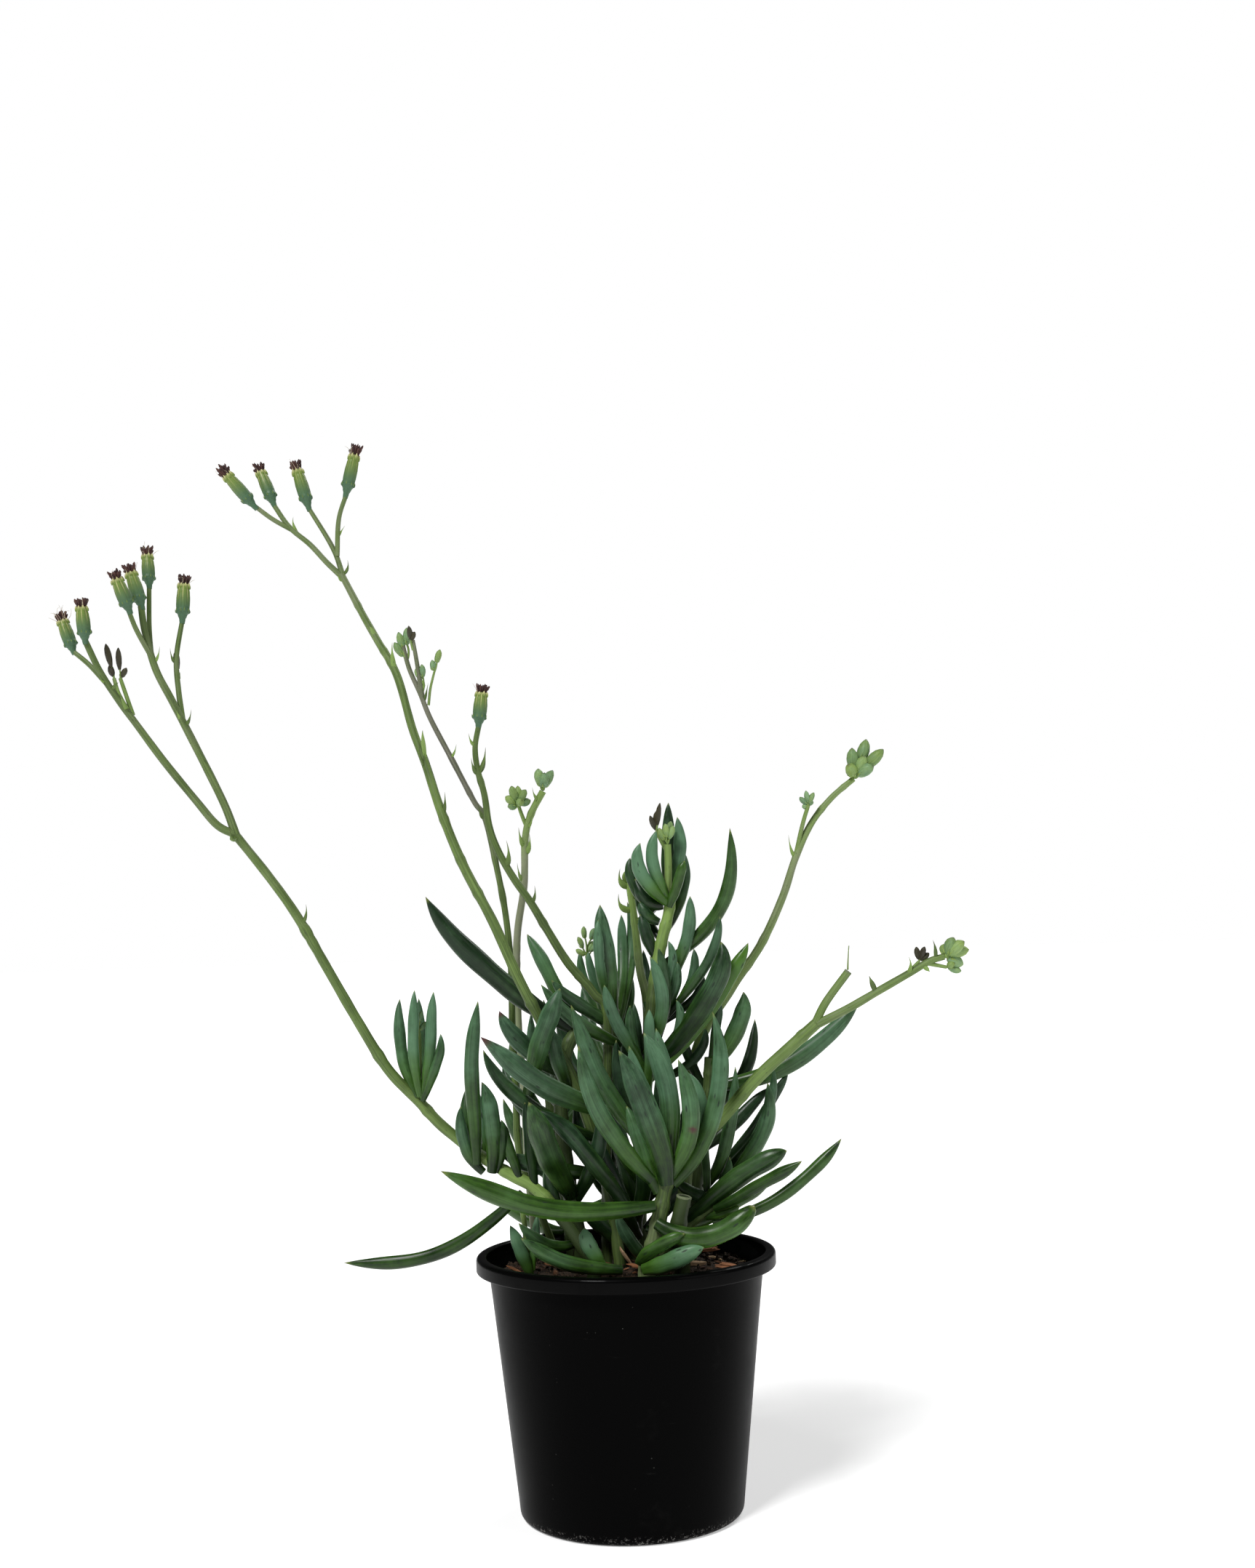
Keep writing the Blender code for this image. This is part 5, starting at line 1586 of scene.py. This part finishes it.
def add_stalked_bud(skin, root, tip, width, withered):
    """A bud on its own short stalk, which grows from the root of the cluster."""
    run = tip - root
    bud_length = min(run.length * 0.85, width * (4.2 if withered else 2.1))
    neck = tip - run.normalized() * bud_length
    bend = (root + neck) / 2 + jitter(skin.dice, 0.05 * run.length)
    add_stem(skin, bent_route(root, bend, neck + run.normalized() * 0.4, 8), width * 0.17,
             width * 0.13, (0.15, 0.7), 8, 1)
    look = (skin.dice.uniform(0.35, 0.8), skin.dice.uniform(0.45, 0.8))
    add_bud(skin, neck, tip, width, look, withered)


class SUCCULENT_OT_stage(bpy.types.Operator):
    """Set the pale floor, the soft lights and the camera"""

    bl_idname = "succulent.stage"
    bl_label = "Stage"
    bl_options = {"REGISTER", "UNDO"}

    def execute(self, context):
        stage = context.scene.succulent_stage
        make_floor(stage)
        make_lights(stage)
        aim_camera(stage)
        return {"FINISHED"}


def make_floor(stage):
    """A wide round floor, level with the pot's underside."""
    mesh = bpy.data.meshes.new("pale_floor")
    sides, radii = 96, (0.4, 1.5, 6.0, 30.0)
    points = [polar(radius, angle, 0.0) for radius in radii for angle in around(sides)]
    faces = [tuple(range(sides))]
    for ring in range(len(radii) - 1):
        for s in range(sides):
            a, b = ring * sides + s, ring * sides + (s + 1) % sides
            faces.append((a, a + sides, b + sides, b))
    mesh.from_pydata(points, [], faces)
    mesh.materials.append(floor_finish(stage))
    floor = new_object("pale_floor", mesh)


def make_lights(stage):
    """An even white sky that lights more dimly than it looks, a key, a fill and a back lamp."""
    world = bpy.data.worlds.new("even_sky")
    world.use_nodes = True
    nodes, links = world.node_tree.nodes, world.node_tree.links
    sky = nodes["Background"]
    sky.inputs["Color"].default_value = (1.0, 1.0, 1.0, 1.0)
    strength = nodes.new("ShaderNodeMapRange")
    strength.inputs["To Min"].default_value = stage.sky
    strength.inputs["To Max"].default_value = stage.backdrop
    links.new(nodes.new("ShaderNodeLightPath").outputs["Is Camera Ray"], strength.inputs["Value"])
    links.new(strength.outputs["Result"], sky.inputs["Strength"])
    bpy.context.scene.world = world
    bpy.context.scene.view_settings.view_transform = "Standard"
    for name, place, spread, share in (("key", (-0.8, -1.3, 1.7), 16, 1.0),
                                       ("fill", (1.6, -0.8, 0.9), 40, 0.16),
                                       ("back", (0.9, 1.2, 1.5), 25, 0.4)):
        lamp = bpy.data.lights.new(name, "SUN")
        lamp.angle = math.radians(spread)
        lamp.energy = stage.key_power * share
        thing = new_object(name, lamp)
        thing.rotation_euler = (-Vector(place)).to_track_quat("-Z", "Y").to_euler()


def aim_camera(stage):
    """Stands the camera at the eye and turns it by its yaw, pitch and roll."""
    forward = Vector((-math.sin(stage.yaw) * math.cos(stage.pitch),
                      math.cos(stage.yaw) * math.cos(stage.pitch), math.sin(stage.pitch)))
    right = Vector((math.cos(stage.yaw), math.sin(stage.yaw), 0.0))
    level = Matrix((right, right.cross(forward), -forward)).transposed()
    lens = bpy.data.cameras.new("eye")
    lens.lens = stage.lens
    lens.dof.use_dof = False
    camera = new_object("eye", lens)
    turn = level @ Matrix.Rotation(stage.roll, 3, "Z")
    camera.matrix_world = Matrix.LocRotScale(Vector(stage.eye), turn.to_quaternion(), None)
    bpy.context.scene.camera = camera


class SUCCULENT_PT_panel(bpy.types.Panel):
    """Lists the operators in the order in which they build the plant"""

    bl_label = "Potted Succulent"
    bl_idname = "SUCCULENT_PT_panel"
    bl_space_type = "VIEW_3D"
    bl_region_type = "UI"
    bl_category = "Succulent"

    def draw(self, context):
        for step in STEPS:
            self.layout.operator(step.bl_idname)


STEPS = (SUCCULENT_OT_pot, SUCCULENT_OT_mix, SUCCULENT_OT_bark, SUCCULENT_OT_stems,
         SUCCULENT_OT_leaves, SUCCULENT_OT_stalks, SUCCULENT_OT_heads, SUCCULENT_OT_buds,
         SUCCULENT_OT_stage)
SETTINGS = {"succulent_pot": PotSettings, "succulent_plant": PlantSettings,
            "succulent_flower": FlowerSettings, "succulent_stage": StageSettings}


def register():
    for group in SETTINGS.values():
        bpy.utils.register_class(group)
    for name, group in SETTINGS.items():
        setattr(bpy.types.Scene, name, PointerProperty(type=group))
    for step in (*STEPS, SUCCULENT_PT_panel):
        bpy.utils.register_class(step)


def unregister():
    for step in reversed((*STEPS, SUCCULENT_PT_panel)):
        bpy.utils.unregister_class(step)
    for name, group in SETTINGS.items():
        delattr(bpy.types.Scene, name)
        bpy.utils.unregister_class(group)


def main():
    register()
    for step in STEPS:
        family, name = step.bl_idname.split(".")
        getattr(getattr(bpy.ops, family), name)()


if __name__ == "__main__":
    main()
